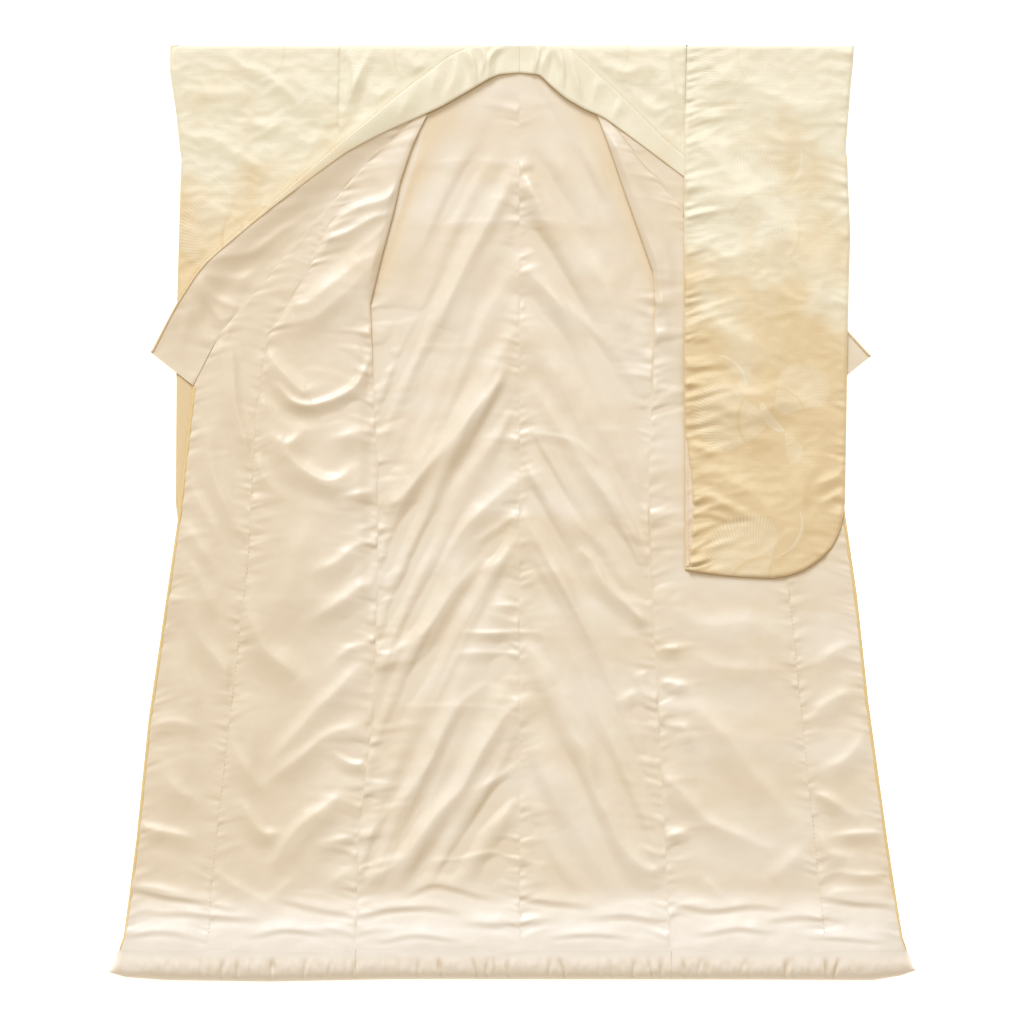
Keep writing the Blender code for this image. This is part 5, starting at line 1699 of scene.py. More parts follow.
@dataclass
class LiningCloth:
    """The satin lining: back, opened fronts and overlap panels, face up."""

    wardrobe: Wardrobe
    seam_reach: float = 3.0
    front_reach: float = 1.6
    overlap_reach: float = 1.8

    def seams(self, side: Side) -> Dict[str, Pucker]:
        """The puckered seams of one half.

        Args:
            side: Which half.

        Returns:
            The seams by name.
        """
        seed = 10.0 * side.value
        return {
            "centre": Pucker(CENTRE_BACK.clip(2.0, 172.0), 1.3, 2.1, 1.1, 0.2, 3.0),
            "side": Pucker(SIDE[side].clip(2.0, ARMPIT), 1.7, 2.8, 1.8, 0.4, seed + 1.0),
            "overlap": Pucker(OVERLAP_SEAM[side], 1.0, 1.7, 0.9, 0.2, seed + 2.0),
            "collar": Pucker(COLLAR_SEAM[side], 1.2, 1.6, 0.9, 0.2, seed + 3.0),
            "edge": Pucker(FRONT_EDGE[side].shifted(-0.4 * side.value), 1.2, 2.2, 1.1, 0.3,
                           seed + 4.0),
        }

    def lay(self, part: str, side: Side, rails: Tuple[Rail, Rail], end: float,
            top: Surface) -> None:
        """One panel of the lining, on its panel of the outer cloth.

        Args:
            part: Which panel.
            side: Which half.
            rails: Its left and right rails.
            end: Its upper end.
            top: Height of its upper side.
        """
        name = "%s_lining_%s" % (part, side.word)
        panel = Panel(name, (name,), *rails, (PANEL_BOTTOM - SEAM_LAP, end), top,
                      rests_on=("%s_outer_%s" % (part, side.word),), lap=SEAM_LAP)
        panel.build(self.wardrobe.get("satin"))

    def back(self, side: Side) -> None:
        """The back lining's half on one side.

        Args:
            side: Which half.
        """
        seams = self.seams(side)

        def calm(across: Grid, up: Grid) -> Grid:
            """1 on the back, less near the neck, where it is smooth."""
            return 1.0 - 0.85 * smooth(*BACK_CALM, up)

        top = lining_top(on_floor, BACK_WAVES + BACK_CREASES, OPENED[Side.LEFT],
                         OPENED[Side.RIGHT], self.seam_reach, (seams["centre"], seams["side"]),
                         calm, fir_tree, LAP_RAISED if side is Side.RIGHT else 0.0)
        self.lay("back", side, ordered(side, BODY[side], CENTRE_BACK), BACK_TOP, top)

    def front(self, side: Side) -> None:
        """The opened front's lining on one side.

        Args:
            side: Which half.
        """
        seams = self.seams(side)
        rails = ordered(side, INNER[side], OPENED[side])
        top = lining_top(FRONT_LEVEL[side], FRONT_FOLDS[side], *rails, self.front_reach,
                         (seams["side"], seams["overlap"], seams["collar"]), SHOWN[side])
        self.lay("front", side, rails, UNDER_COLLAR, top)

    def overlap(self, side: Side) -> None:
        """The overlap panel's lining on one side.

        Args:
            side: Which half.
        """
        seams = self.seams(side)
        rails = ordered(side, LINED_EDGE[side], OVERLAP_SEAM[side])
        top = lining_top(FRONT_LEVEL[side], OVERLAP_FOLDS[side], *rails, self.overlap_reach,
                         (seams["overlap"], seams["edge"], seams["collar"]), SHOWN[side],
                         raised=LAP_RAISED)
        self.lay("overlap", side, rails, OVERLAP_POINT[side], top)

    def build(self) -> None:
        """Make all the lining panels."""
        for side in Side:
            self.back(side)
            self.front(side)
            self.overlap(side)


@dataclass
class OuterCloth:
    """The brocade below the lining, which lies face down and shows at its edges."""

    wardrobe: Wardrobe

    def wall(self, name: str, rails: Tuple[Rail, Rail], span: Tuple[float, float],
             level: Surface) -> None:
        """One panel of the outer cloth.

        Args:
            name: Its node.
            rails: Its left and right rails.
            span: Its lower and upper ends.
            level: Height of its underside.
        """
        def top(across: Grid, up: Grid) -> Grid:
            """Height of the panel's upper side."""
            return level(across, up) + OUTER
        panel = Panel(name + "_cloth", (name,), *rails, span, top, PLAIN_CELL, OUTER,
                      Slot.BROCADE, closed=True)
        panel.build(self.wardrobe.get("brocade"))

    def build(self) -> None:
        """Make the opened fronts and overlap panels, and dress the flat back."""
        for side in Side:
            self.wall("front_outer_" + side.word, ordered(side, INNER[side], OPENED[side]),
                      (PANEL_BOTTOM, FRONT_TOP), FRONT_LEVEL[side])
            self.wall("overlap_outer_" + side.word, ordered(side, EDGE[side], OVERLAP_SEAM[side]),
                      (PANEL_BOTTOM, OVERLAP_TOP[side]), FRONT_LEVEL[side])
        for name in ("back_outer_left", "back_outer_right", "sleeve_left_back"):
            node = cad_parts[name]
            node.data.materials.clear()
            node.data.materials.append(self.wardrobe.get("brocade"))


@dataclass
class ShoulderCloth:
    """The upper fronts, still face up between the sleeve seam and the collar."""

    wardrobe: Wardrobe
    roll_depth: float = 3.4
    roll_width: float = 0.9
    dip: float = -1.2

    def half(self, side: Side) -> None:
        """One upper front.

        Args:
            side: Which half.
        """
        rails = ordered(side, SHOULDER[side], TURN[side])
        seam = Pucker(SHOULDER[side], 1.6, 1.6, 0.9, 1.2, 20.0 + side.value)

        def top(across: Grid, up: Grid) -> Grid:
            """Height of the cloth's face."""
            open_cloth = smooth(0.6, 3.0, up - collar_edge_up(side, across))
            loose = (relief(SHOULDER_CREASES[side], across, up) + waves(across, up, 0.8)
                     + 0.9 * crinkles(across, up))
            roll = self.roll_depth * (1.0 - smooth(0.0, self.roll_width, LENGTH - up)) ** 2
            drawn = np.maximum(open_cloth * (loose + seam.height(across, up)), self.dip)
            return ON_LINING + OUTER + drawn - roll + above_collar(side, across, up)

        name = "shoulder_front_" + side.word
        panel = Panel(name + "_cloth", (name,), *rails, (ARMPIT + 0.8, LENGTH), top,
                      SLEEVE_CELL, OUTER, Slot.BROCADE)
        panel.build(self.wardrobe.get("brocade"))

    def build(self) -> None:
        """Make both upper fronts."""
        for side in Side:
            self.half(side)


@dataclass
class Sleeves:
    """The two long sleeves, each a flat bag with rounded lower corners."""

    wardrobe: Wardrobe
    edge_round: float = 0.8
    left_top: float = ON_LINING + OUTER
    left_dip: float = -1.0
    right_dip: float = -1.3
    strip_dip: float = -0.9
    strip_span: Tuple[float, float] = (82.3, 107.0)

    def rounded(self, outline: Sequence[Plan], across: Grid, up: Grid) -> Grid:
        """0 at the bag's outline, 1 further in, like a soft folded edge.

        Args:
            outline: The outline's points.
            across: Positions across.
            up: Positions up.

        Returns:
            The share of the bag's full height.
        """
        gap, _, _ = nearest_on(outline, across, up)
        share = np.clip(gap / self.edge_round, 0.0, 1.0)
        return np.sqrt(np.clip(1.0 - (1.0 - share) ** 2, 0.0, 1.0))

    def left(self) -> None:
        """The left sleeve's front wall, which shows above the collar."""
        outline = (SLEEVE_LEFT_OUT.path()[::-1]
                   + SLEEVE_LEFT_IN.clip(SLEEVE_BOTTOM, SLEEVE_SEAM_END).path())
        outline = outline + ((-36.0, SLEEVE_SEAM_END),)
        top_edge = ((-69.2, LENGTH), (-35.4, LENGTH))
        seam = Pucker(SHOULDER_LEFT, 1.6, 1.9, 1.0, 1.2, 21.0)
        cuff = Pucker(SLEEVE_LEFT_OUT.shifted(0.3), 1.5, 2.2, 0.7, 0.0, 31.0)

        def top(across: Grid, up: Grid) -> Grid:
            """Height of the front wall's face."""
            above = up - collar_edge_up(Side.LEFT, across)
            open_cloth = smooth(0.8, 3.6, above)
            loose = (relief(LEFT_SLEEVE_CREASES, across, up) + waves(across, up, 0.7)
                     + crinkles(across, up))
            drawn = seam.height(across, up) + cuff.height(across, up)
            ends = np.minimum(self.rounded(outline, across, up),
                              self.rounded(top_edge, across, up))
            lift = np.maximum(open_cloth * (loose + drawn), self.left_dip)
            lift = lift + above_collar(Side.LEFT, across, up)
            return OUTER + (self.left_top - OUTER) * ends + lift * ends

        Panel("sleeve_left_front_cloth", ("sleeve_left_front",), SLEEVE_LEFT_OUT, SLEEVE_LEFT_IN,
              (SLEEVE_BOTTOM, LENGTH), top, SLEEVE_CELL, OUTER,
              Slot.BROCADE, ("sleeve_left_back",)).build(self.wardrobe.get("brocade"))

    def right(self) -> None:
        """The right sleeve: back wall, front wall and the lining that shows between."""
        def under(across: Grid, up: Grid) -> Grid:
            """Height of the back wall's upper side."""
            return right_sleeve_level(across, up) + OUTER

        Panel("sleeve_right_back_cloth", ("sleeve_right_back",), SLEEVE_RIGHT_IN,
              SLEEVE_RIGHT_OUT, (SLEEVE_BOTTOM, LENGTH), under, HIDDEN_CELL, OUTER,
              Slot.BROCADE, closed=True).build(self.wardrobe.get("brocade"))

        outline = SLEEVE_RIGHT_PULL.path()[::-1] + SLEEVE_RIGHT_OUT.path()
        top_edge = ((33.0, LENGTH), (66.3, LENGTH))
        inner = Pucker(SLEEVE_RIGHT_PULL.clip(84.0, 184.0), 0.95, 3.4, 3.4, 0.3, 41.0)
        cuff = Pucker(SLEEVE_RIGHT_OUT.clip(86.0, 184.0), 1.2, 1.9, 1.5, 0.0, 43.0)

        def top(across: Grid, up: Grid) -> Grid:
            """Height of the front wall's face."""
            loose = relief(RIGHT_SLEEVE_CREASES, across, up) * smooth(80.5, 85.0, up)
            loose = loose + waves(across, up, 1.2) + 0.7 * crinkles(across, up)
            drawn = inner.height(across, up) + cuff.height(across, up)
            ends = np.minimum(self.rounded(outline, across, up),
                              self.rounded(top_edge, across, up))
            lift = np.maximum(loose + drawn, self.right_dip)
            return (right_sleeve_level(across, up) + OUTER + ON_LINING * ends
                    + lift * ends)

        Panel("sleeve_right_front_cloth", ("sleeve_right_front",), SLEEVE_RIGHT_PULL,
              SLEEVE_RIGHT_OUT, (SLEEVE_BOTTOM, LENGTH), top, SLEEVE_CELL, OUTER,
              Slot.BROCADE, ("sleeve_right_back_cloth",)).build(self.wardrobe.get("brocade"))

        puckered = Pucker(SLEEVE_LINING_EDGE.shifted(0.3), 1.3, 1.2, 0.8, 0.0, 47.0)

        def strip(across: Grid, up: Grid) -> Grid:
            """Height of the lining strip."""
            return (right_sleeve_level(across, up) + ON_OUTER + LINING
                    + np.maximum(puckered.height(across, up), self.strip_dip))

        Panel("sleeve_right_lining_strip", ("sleeve_right_lining",), SLEEVE_LINING_EDGE,
              SLEEVE_LINING_BACK, self.strip_span, strip, FINE_CELL, LINING,
              Slot.LINING).build(self.wardrobe.get("strip"))

    def build(self) -> None:
        """Make both sleeves."""
        self.left()
        self.right()


def spread_stations(stations: Sequence[Station], steps: int) -> Dict[str, Grid]:
    """Stations read smoothly between their own places.

    Args:
        stations: The collar's stations.
        steps: How many rings between two stations.

    Returns:
        Arrays of edge, flap, seam and level along the collar.
    """
    count = len(stations)
    at = np.linspace(0.0, count - 1.0, (count - 1) * steps + 1)
    found: Dict[str, Grid] = {}
    for name in ("edge", "flap", "seam"):
        values = np.array([getattr(s, name) for s in stations])
        slopes = np.gradient(values, axis=0)
        low = np.clip(at.astype(int), 0, count - 2)
        t = (at - low)[:, None]
        h00, h10 = 2 * t ** 3 - 3 * t ** 2 + 1, t ** 3 - 2 * t ** 2 + t
        h01, h11 = -2 * t ** 3 + 3 * t ** 2, t ** 3 - t ** 2
        curved = (h00 * values[low] + h10 * slopes[low] + h01 * values[low + 1]
                  + h11 * slopes[low + 1])
        straight = values[low] * (1 - t) + values[low + 1] * t
        found[name] = 0.5 * curved + 0.5 * straight
    levels = np.array([s.level for s in stations])
    found["level"] = np.interp(at, np.arange(count), levels)
    return found


@dataclass
class CollarHalf:
    """One half of the collar: a band with its upper edge folded over, and its lining."""

    wardrobe: Wardrobe
    side: Side
    steps: int = 22
    face_points: int = 14
    bend_points: int = 9
    lining_points: int = 24
    flap_rise: float = 1.6
    deepest_pleat: float = -1.0
    deepest_crease: float = -0.8
    highest_right: float = 0.5

    def section(self, edge: Grid, flap: Grid, seam: Grid, low: Grid) -> Tuple[Grid, Grid]:
        """The points round the band at each ring.

        Args:
            edge: Folded edge of each ring.
            flap: End of the folded-over wall.
            seam: Seam to the body.
            low: Height of the underside.

        Returns:
            Plan positions (rings, points, 2) and heights (rings, points).
        """
        width = np.linalg.norm(flap - edge, axis=1)
        seam_width = np.linalg.norm(seam - edge, axis=1)
        thick = (COLLAR_FLAP + OUTER) / 2.0
        plans: List[Grid] = []
        heights: List[Grid] = []

        def add(target: Grid, span: Grid, into: Grid, height: Grid) -> None:
            """One point, a distance in from the edge towards a target."""
            plans.append(edge + (target - edge) * (into / span)[:, None])
            heights.append(low + height)

        keep = GAP * 0.1 / 2.0
        ones = np.ones_like(width)
        for share in (1.0, 0.66, 0.33):
            add(seam, seam_width, (seam_width - keep) * share, 0.0 * ones)
        bend = np.minimum(thick * 0.1, width * 0.4)
        for turn in np.linspace(-90.0, 90.0, self.bend_points):
            angle = math.radians(turn)
            add(flap, width, bend * (1.0 - math.cos(angle)), thick * (1 + math.sin(angle)) * ones)
        full = COLLAR_FLAP + OUTER
        for share in np.linspace(0.0, 1.0, self.face_points)[1:]:
            add(flap, width, bend + (width - bend - 0.04) * share, full * ones)
        add(flap, width, width, (full - 0.5) * ones)
        add(flap, width, width, (COLLAR_FLAP + 0.2) * ones)
        inner = np.minimum(OUTER * 0.1, width * 0.5)
        add(flap, width, (width + inner) / 2.0, COLLAR_FLAP * ones)
        add(flap, width, inner, COLLAR_FLAP * ones)
        add(seam, seam_width, np.minimum(OUTER * 0.1, seam_width * 0.3), OUTER * ones)
        add(seam, seam_width, seam_width - keep, OUTER * ones)
        return np.stack(plans, 1), np.stack(heights, 1)

    def band(self) -> None:
        """The brocade band of the collar."""
        rings = spread_stations(COLLAR[self.side], self.steps)
        low = rings["level"] * ON_FRONT
        plan, height = self.section(rings["edge"], rings["flap"], rings["seam"], low)
        faces_part = slice(3 + self.bend_points // 2, 3 + self.bend_points + self.face_points)
        a, u = plan[:, faces_part, 0], plan[:, faces_part, 1]
        gap = np.linalg.norm(plan[:, faces_part] - rings["edge"][:, None], axis=2)
        wide = np.linalg.norm(rings["flap"] - rings["edge"], axis=1)[:, None]
        free = smooth(0.0, 0.8, gap) * smooth(0.8, 3.0, wide)
        pleats = relief(COLLAR_CREASES[self.side], a, u) + waves(a, u, 0.5)
        flap_lift = self.flap_rise * smooth(0.4, 1.0, gap / wide) * smooth(2.0, 6.0, wide)
        height[:, faces_part] += np.maximum(pleats, self.deepest_pleat) * free + flap_lift
        lifted = collar_billow(plan[..., 0], plan[..., 1]) if self.side is Side.LEFT else 0.0
        height = height + lifted * smooth(2.0, 4.0, height - low[:, None])
        points = place(plan[..., 0], plan[..., 1], height)
        name = "collar_" + self.side.word
        made = tube_object(name + "_cloth", points, self.wardrobe.get("brocade"))
        declare(made, Slot.BROCADE, name)

    def lining(self) -> None:
        """The satin that shows where the band opens out."""
        rings = spread_stations(COLLAR[self.side][COLLAR_LINING_FIRST:], self.steps)
        edge, seam = rings["edge"], rings["seam"]
        seam_width = np.linalg.norm(seam - edge, axis=1)
        keep = (GAP * 0.1 / 2.0) / seam_width
        start = ((OUTER + GAP) * 0.1) / seam_width
        share = np.linspace(0.0, 1.0, self.lining_points)[None, :]
        into = start[:, None] + (1.0 - keep - start)[:, None] * share
        plan = edge[:, None] + (seam - edge)[:, None] * into[..., None]
        a, u = plan[..., 0], plan[..., 1]
        low = (rings["level"] * ON_FRONT)[:, None] + ON_OUTER + LINING
        bands = smooth(0.0, 0.12, share) * smooth(0.0, 0.1, 1.0 - share)
        ladder = Pucker(Rail(tuple(Knot(float(e[1]), float(e[0])) for e in edge[::-self.steps])),
                        1.1, 3.0, 0.5, 0.0, 51.0)
        sewn = Pucker(COLLAR_SEAM[self.side], 1.2, 1.6, 0.9, 0.2, 10.0 * self.side.value + 3.0)
        if self.side is Side.LEFT:
            height = (relief(COLLAR_LINING_CREASES, a, u) + waves(a, u)) * bands
        else:
            height = waves(a, u, 0.4) * bands
        height = height + ladder.height(a, u) * bands + sewn.height(a, u)
        height = np.maximum(height, self.deepest_crease)
        if self.side is Side.RIGHT:
            height = np.minimum(height, self.highest_right)
        else:
            height = height + collar_billow(a, u)
        points = place(a, u, low + height)
        name = "collar_lining_" + self.side.word
        made = mesh_object(name + "_cloth", points,
                           grid_faces(*a.shape, flip=self.side is Side.LEFT),
                           self.wardrobe.get("satin"))
        declare(made, Slot.LINING, name)

    def build(self) -> None:
        """Make the band and its lining."""
        self.band()
        self.lining()


@dataclass
class HemRoll:
    """One stretch of the padded hem roll, sewn down at its tacks."""

    wardrobe: Wardrobe
    name: str
    start: float
    end: float
    ring_step: float = 0.22
    under_points: int = 5
    side_points: int = 16
    over_points: int = 8

    def sections(self, across: Grid) -> Tuple[Grid, Grid]:
        """The roll's outline at each ring.

        Args:
            across: Where the rings are.

        Returns:
            Shares of the roll's width and heights, each (rings, points).
        """
        full = tip_fullness(np.minimum(across - HEM_LEFT, HEM_RIGHT - across))
        low = np.interp(across, [a for a, _ in HEM_LINE], [u for _, u in HEM_LINE])
        ones = np.ones_like(across)
        shares: List[Grid] = []
        heights: List[Grid] = []

        def top(run: float) -> Grid:
            """Height of the padding at a share of the roll's width."""
            rise = 1.0 - smooth(PADDED_FULL, PADDED_BAND, low + (PANEL_BOTTOM - low) * run)
            return (ON_OUTER + LINING + PADDED_RISE * rise) * full

        for turn in np.linspace(0.0, math.pi / 2.0, self.side_points):
            shares.append(ROLL_CREST * (1.0 - math.cos(turn)) * ones)
            heights.append(top(ROLL_CREST) * math.sin(turn))
        for run in (*np.linspace(ROLL_CREST, 1.0, self.over_points)[1:-1], 0.994, 1.0):
            shares.append(run * ones)
            heights.append(top(run))
        for run in np.linspace(1.0, 0.0, self.under_points)[:-1]:
            shares.append(run * ones)
            heights.append(0.0 * ones)
        return np.stack(shares, 1), np.stack(heights, 1)

    def padding(self, across: Grid, share: Grid, height: Grid) -> Grid:
        """How much the tacks and the lie of the padding change the height.

        Args:
            across: Positions across.
            share: Shares of the roll's width.
            height: Heights before.

        Returns:
            Heights after.
        """
        dip = np.zeros(np.shape(height))
        chance = np.random.default_rng(23)
        for place_of in np.linspace(TACKS_START, TACKS_END, TACKS):
            tack = place_of + chance.normal(0.0, 0.8)
            wide = TACK_WIDTH * chance.uniform(0.6, 1.5)
            slant = chance.uniform(-1.6, 1.6)
            away = (across - tack - slant * (share - 0.3)) / (wide * (0.3 + 1.5 * share))
            dip += chance.uniform(0.15, 1.0) ** 1.5 * np.exp(-np.abs(away) ** 1.4)
        dip *= smooth(0.0, 0.16, share) * (1.0 - smooth(0.4, 0.85, share))
        small = CRINKLE(across / 0.9, share * 2.5 + across * 0.1)
        small = small * smooth(0.08, 0.3, share) * (1.0 - smooth(0.5, 0.85, share))
        soft = 0.03 * SWELL(across / 7.0, share * 1.5 + 3.0) + 0.045 * small
        top = smooth(0.0, 6.0, height) * smooth(0.0, 0.18, 1.0 - share)
        return height * (1.0 - TACK_DEPTH * np.minimum(dip, 1.0) + soft * top)

    def build(self) -> None:
        rings = max(3, round((self.end - self.start) / self.ring_step)) + 1
        across = np.linspace(self.start, self.end, rings)
        share, height = self.sections(across)
        low = np.interp(across, [a for a, _ in HEM_LINE], [u for _, u in HEM_LINE])
        into = (np.maximum(0.0, HEM_LEFT + ROLL_TIP - across)
                - np.maximum(0.0, across - HEM_RIGHT + ROLL_TIP))
        plan_across = across[:, None] + HEM_SLANT * (into / ROLL_TIP)[:, None] * share ** 0.5
        up = low[:, None] + (PANEL_BOTTOM - low)[:, None] * share
        height = self.padding(plan_across, share, height)
        height = np.minimum(height, HEM_ROLL_HEIGHT)
        points = place(plan_across, up, np.maximum(height, 0.0))
        made = tube_object(self.name + "_padding", points, self.wardrobe.get("padded"),
                           self.side_points + self.over_points - 1)
        declare(made, Slot.PADDED, self.name)
        log.info("%s: %.2f m", self.name, (self.end - self.start) * CM)


@dataclass
class EdgeBinding:
    """The gold turned-in edge along a front; its small stitches are made by Stitching."""

    wardrobe: Wardrobe
    side: Side
    width: float = 0.66
    step: float = 0.4

    def build(self) -> None:
        """Make the edge as a rounded strip."""
        ups = np.arange(PANEL_BOTTOM, FRONT_EDGE[self.side].knots[-1].up, self.step)
        edge = FRONT_EDGE[self.side].at(ups)
        level = FRONT_LEVEL[self.side](edge, ups) + padded_rise(edge, ups) * 0.9
        inward = -self.side.value
        wobble = 0.3 * CRINKLE(ups / 1.1, 5.0 + self.side.value)
        ins = np.array([p[0] for p in BINDING_PROFILE]) * self.width / BINDING_PROFILE[-1][0]
        highs = np.array([p[1] for p in BINDING_PROFILE])
        across = edge[:, None] + inward * ins[None, :] * (1.0 + 0.12 * wobble[:, None])
        up = np.broadcast_to(ups[:, None], across.shape)
        low_share = np.clip(highs / 2.0, 0.0, 1.0)[None, :]
        base = FRONT_LEVEL[self.side](edge, ups)[:, None]
        height = base + highs[None, :] + (level[:, None] - base) * low_share + wobble[:, None]
        height = np.maximum(height, base + 0.05)
        points = place(across, up, height)
        made = mesh_object("edge_binding_" + self.side.word, points,
                           grid_faces(*across.shape, flip=self.side is Side.RIGHT),
                           self.wardrobe.get("edging"))
        declare(made, Slot.BROCADE)


@dataclass
class Stitching:
    """Small running stitches, joined into one mesh for each side."""

    wardrobe: Wardrobe
    length: float = 0.26
    thick: float = 0.055
    pitch: float = 0.55

    def along(self, path: Grid, heights: Grid, seed: int) -> Tuple[List[Grid], List[Tuple]]:
        """Stitches along a path.

        Args:
            path: Plan points of the path, (n, 2).
            heights: Height at each of them.
            seed: Which small unevenness they have.

        Returns:
            Blocks of vertices and the faces of one stitch.
        """
        steps = np.linalg.norm(np.diff(path, axis=0), axis=1)
        run = np.concatenate(([0.0], np.cumsum(steps)))
        at = np.arange(self.pitch, run[-1] - self.pitch, self.pitch)
        jitter = np.random.default_rng(seed).normal(0.0, 0.035, (len(at), 3))
        at = at + jitter[:, 0]
        centre = np.stack([np.interp(at, run, path[:, 0]), np.interp(at, run, path[:, 1])], 1)
        ahead = np.stack([np.interp(at + 0.2, run, path[:, 0]),
                          np.interp(at + 0.2, run, path[:, 1])], 1) - centre
        ahead /= np.linalg.norm(ahead, axis=1)[:, None] + 1e-9
        beside = np.stack([-ahead[:, 1], ahead[:, 0]], 1)
        centre = centre + beside * jitter[:, 1:2]
        high = np.interp(at, run, heights)
        blocks: List[Grid] = []
        for along_share, girth in STITCH_RINGS:
            for corner in range(STITCH_SIDES):
                turn = corner * math.pi / (STITCH_SIDES / 2)
                off = self.thick * girth * math.cos(turn)
                lift = self.thick * girth * math.sin(turn) * 10.0
                arch = 0.35 * (1.0 - along_share * along_share)
                spot = (centre + ahead * (along_share * self.length / 2.0) + beside * off)
                blocks.append(place(spot[:, 0], spot[:, 1], high + lift + arch))
        return blocks, self.faces()

    @staticmethod
    def faces() -> List[Tuple[int, ...]]:
        """The faces of one stitch."""
        found: List[Tuple[int, ...]] = []
        for first in range(0, (len(STITCH_RINGS) - 1) * STITCH_SIDES, STITCH_SIDES):
            for corner in range(STITCH_SIDES):
                a, b = first + corner, first + (corner + 1) % STITCH_SIDES
                found.append((a, b, b + STITCH_SIDES, a + STITCH_SIDES))
        return found

    def build(self, name: str, runs: Sequence[Tuple[Grid, Grid]], material: str) -> None:
        """Make a group of stitch rows as one joined mesh.

        Args:
            name: The piece's name.
            runs: (plan points, heights) of each row.
            material: Which finish.
        """
        points: List[Grid] = []
        faces: List[Tuple[int, ...]] = []
        count = 0
        for seed, (path, heights) in enumerate(runs):
            blocks, pattern = self.along(path, heights, seed)
            each = np.stack(blocks, 1)
            for stitch in range(each.shape[0]):
                faces += [tuple(count + i for i in face) for face in pattern]
                count += each.shape[1]
            points.append(each.reshape(-1, 3))
        made = mesh_object(name, np.concatenate(points), faces, self.wardrobe.get(material))
        declare(made, Slot.BROCADE)
        log.info("%s: %d stitches", name, count // (len(STITCH_RINGS) * STITCH_SIDES))


def edge_stitch_runs(side: Side) -> List[Tuple[Grid, Grid]]:
    """The rows of stitches along one front edge and its collar's edge.

    Args:
        side: Which half.

    Returns:
        Plan points and heights of each row.
    """
    ups = np.arange(8.0, 117.0, STITCH_GRID)
    across = FRONT_EDGE[side].at(ups) - side.value * 0.4
    heights = FRONT_LEVEL[side](across, ups) + ON_OUTER + LINING + 0.6 + padded_rise(across, ups)
    runs = [(np.stack((across, ups), 1), heights)]
    rings = spread_stations(COLLAR[side][7:], 16)
    inward = rings["seam"] - rings["edge"]
    inward /= np.linalg.norm(inward, axis=1)[:, None]
    spots = rings["edge"] + inward * 0.62
    level = rings["level"] * ON_FRONT + ON_OUTER + LINING + 0.2
    runs.append((spots, level))
    return runs


def seam_stitch_runs() -> List[Tuple[Grid, Grid]]:
    """The rows of stitches along the overlap seams and the right sleeve's lining."""
    runs = []
    for side, top in ((Side.LEFT, 112.0), (Side.RIGHT, 79.0)):
        ups = np.arange(9.0, top, STITCH_GRID)
        across = OVERLAP_SEAM[side].at(ups)
        low = FRONT_LEVEL[side](across, ups) + ON_OUTER + LINING - 0.15
        low = low + padded_rise(across, ups)
        low = low + WRINKLE_GAIN * relief(HEM_WRINKLES, across, ups, HEM_LEAN)
        runs.append((np.stack((across + 0.12, ups), 1), low))
    ups = np.arange(83.0, 108.0, STITCH_GRID)
    across = SLEEVE_LINING_EDGE.at(ups) + 0.45
    runs.append((np.stack((across, ups), 1),
                 right_sleeve_level(across, ups) + ON_OUTER + LINING + 0.4))
    return runs


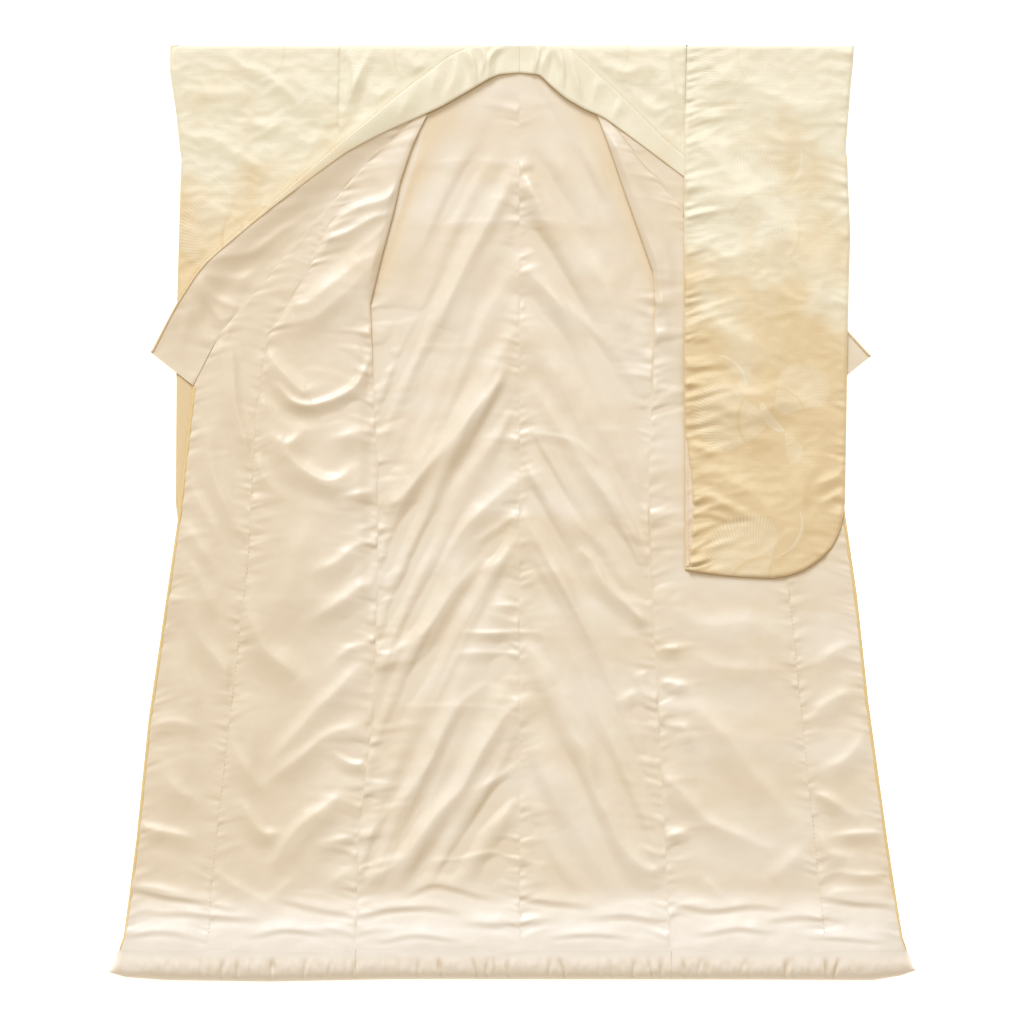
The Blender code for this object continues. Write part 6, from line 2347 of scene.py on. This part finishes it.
@dataclass
class Studio:
    """Camera, floor and soft lights."""

    picture_width: float = 2.0275
    centre: Tuple[float, float] = (-0.0004, 0.0027)
    camera_height: float = 9.0
    sensor: float = 36.0
    floor_tone: Colour = (0.93, 0.93, 0.925)
    ambient: Colour = (1.0, 0.85, 0.63)
    floor_glow: float = 0.6
    floor_half: float = 12.0
    floor_level: float = -0.0004

    def camera(self) -> None:
        """A long lens straight above, as in the photo."""
        data = bpy.data.cameras.new("camera")
        data.sensor_width = self.sensor
        data.lens = self.sensor * self.camera_height / self.picture_width
        data.clip_end = 60.0
        made = bpy.data.objects.new("camera", data)
        made.location = (*self.centre, self.camera_height)
        bpy.context.scene.collection.objects.link(made)
        bpy.context.scene.camera = made

    def floor(self) -> None:
        """A plain pale floor."""
        mesh = bpy.data.meshes.new("floor")
        half, low = self.floor_half, self.floor_level
        mesh.from_pydata([(-half, -half, low), (half, -half, low), (half, half, low),
                          (-half, half, low)], [], [(0, 1, 2, 3)])
        made = bpy.data.objects.new("floor", mesh)
        bpy.context.scene.collection.objects.link(made)
        pen = Paint("studio_floor")
        shade = pen.math("MULTIPLY", pen.noise(pen.plan, 3.0), 0.05)
        pen.fill(pen.shader, {
            "Base Color": pen.blend(shade, self.floor_tone, (0.9, 0.9, 0.9)),
            "Roughness": 0.9, "Specular IOR Level": 0.1,
            "Emission Color": (1.0, 1.0, 1.0, 1.0), "Emission Strength": self.floor_glow})
        mesh.materials.append(pen.made)

    def hang(self, data: bpy.types.Light, spot: Tuple[float, float, float]) -> bpy.types.Object:
        """A lamp in the scene, turned so that it shines from a spot to the middle.

        Args:
            data: The light.
            spot: The spot, in metres.

        Returns:
            The lamp.
        """
        made = bpy.data.objects.new(data.name, data)
        x, y, z = spot
        made.rotation_euler = (math.atan2(math.hypot(x, y), z), 0.0,
                               math.atan2(y, x) + math.pi / 2.0)
        bpy.context.scene.collection.objects.link(made)
        return made

    def light(self, name: str, spot: Tuple[float, float, float], size: float, power: float,
              tint: Colour) -> None:
        """One softbox that looks at the garment's middle.

        Args:
            name: Its name.
            spot: Where it stands, in metres.
            size: Its side in metres.
            power: Its power in watts.
            tint: Its colour.
        """
        data = bpy.data.lights.new(name, "AREA")
        data.shape = "SQUARE"
        data.size = size
        data.energy = power
        data.color = tint
        self.hang(data, spot).location = spot

    def sun(self, name: str, towards: Tuple[float, float, float], angle: float, power: float,
            tint: Colour) -> None:
        """One even light from far away.

        Args:
            name: Its name.
            towards: The direction that it comes from.
            angle: How wide it is, in degrees.
            power: Its strength.
            tint: Its colour.
        """
        data = bpy.data.lights.new(name, "SUN")
        data.energy = power
        data.angle = math.radians(angle)
        data.color = tint
        self.hang(data, towards)

    def world(self) -> None:
        """Even light from all round."""
        made = bpy.data.worlds.new("studio")
        made.use_nodes = True
        back = made.node_tree.nodes.get("Background")
        back.inputs["Color"].default_value = (*self.ambient, 1.0)
        back.inputs["Strength"].default_value = 0.6
        bpy.context.scene.world = made

    def build(self) -> None:
        """Set up the studio."""
        self.camera()
        self.floor()
        self.world()
        self.sun("key", (-0.2, 1.0, 0.68), 24.0, 3.0, (0.78, 0.885, 1.0))
        self.light("sheen", (-0.6, 3.0, 6.0), 2.0, 60.0, (0.95, 0.98, 1.0))
        bpy.context.scene.view_settings.view_transform = "Standard"


def main() -> None:
    """Build the garment's cloth, then the studio."""
    logging.basicConfig(level=logging.INFO, format="%(name)s %(message)s")
    wardrobe = Wardrobe()
    LiningCloth(wardrobe).build()
    OuterCloth(wardrobe).build()
    ShoulderCloth(wardrobe).build()
    Sleeves(wardrobe).build()
    for side in Side:
        CollarHalf(wardrobe, side).build()
        EdgeBinding(wardrobe, side).build()
        Stitching(wardrobe).build("edge_stitches_" + side.word, edge_stitch_runs(side), "thread")
    seams = Stitching(wardrobe, length=0.3, thick=0.05, pitch=0.85)
    seams.build("seam_stitches", seam_stitch_runs(), "seam_thread")
    half = -SEAM_LAP / 2.0
    side_left = float(SIDE_LEFT.at(np.array(0.0)))
    side_right = float(SIDE_RIGHT.at(np.array(0.0)))
    for name, start, end in (("hem_roll_left", HEM_LEFT, side_left - half),
                             ("hem_roll_back", side_left + half, side_right - half),
                             ("hem_roll_right", side_right + half, HEM_RIGHT)):
        HemRoll(wardrobe, name, start, end).build()
    Studio().build()


if __name__ == "__main__":
    main()
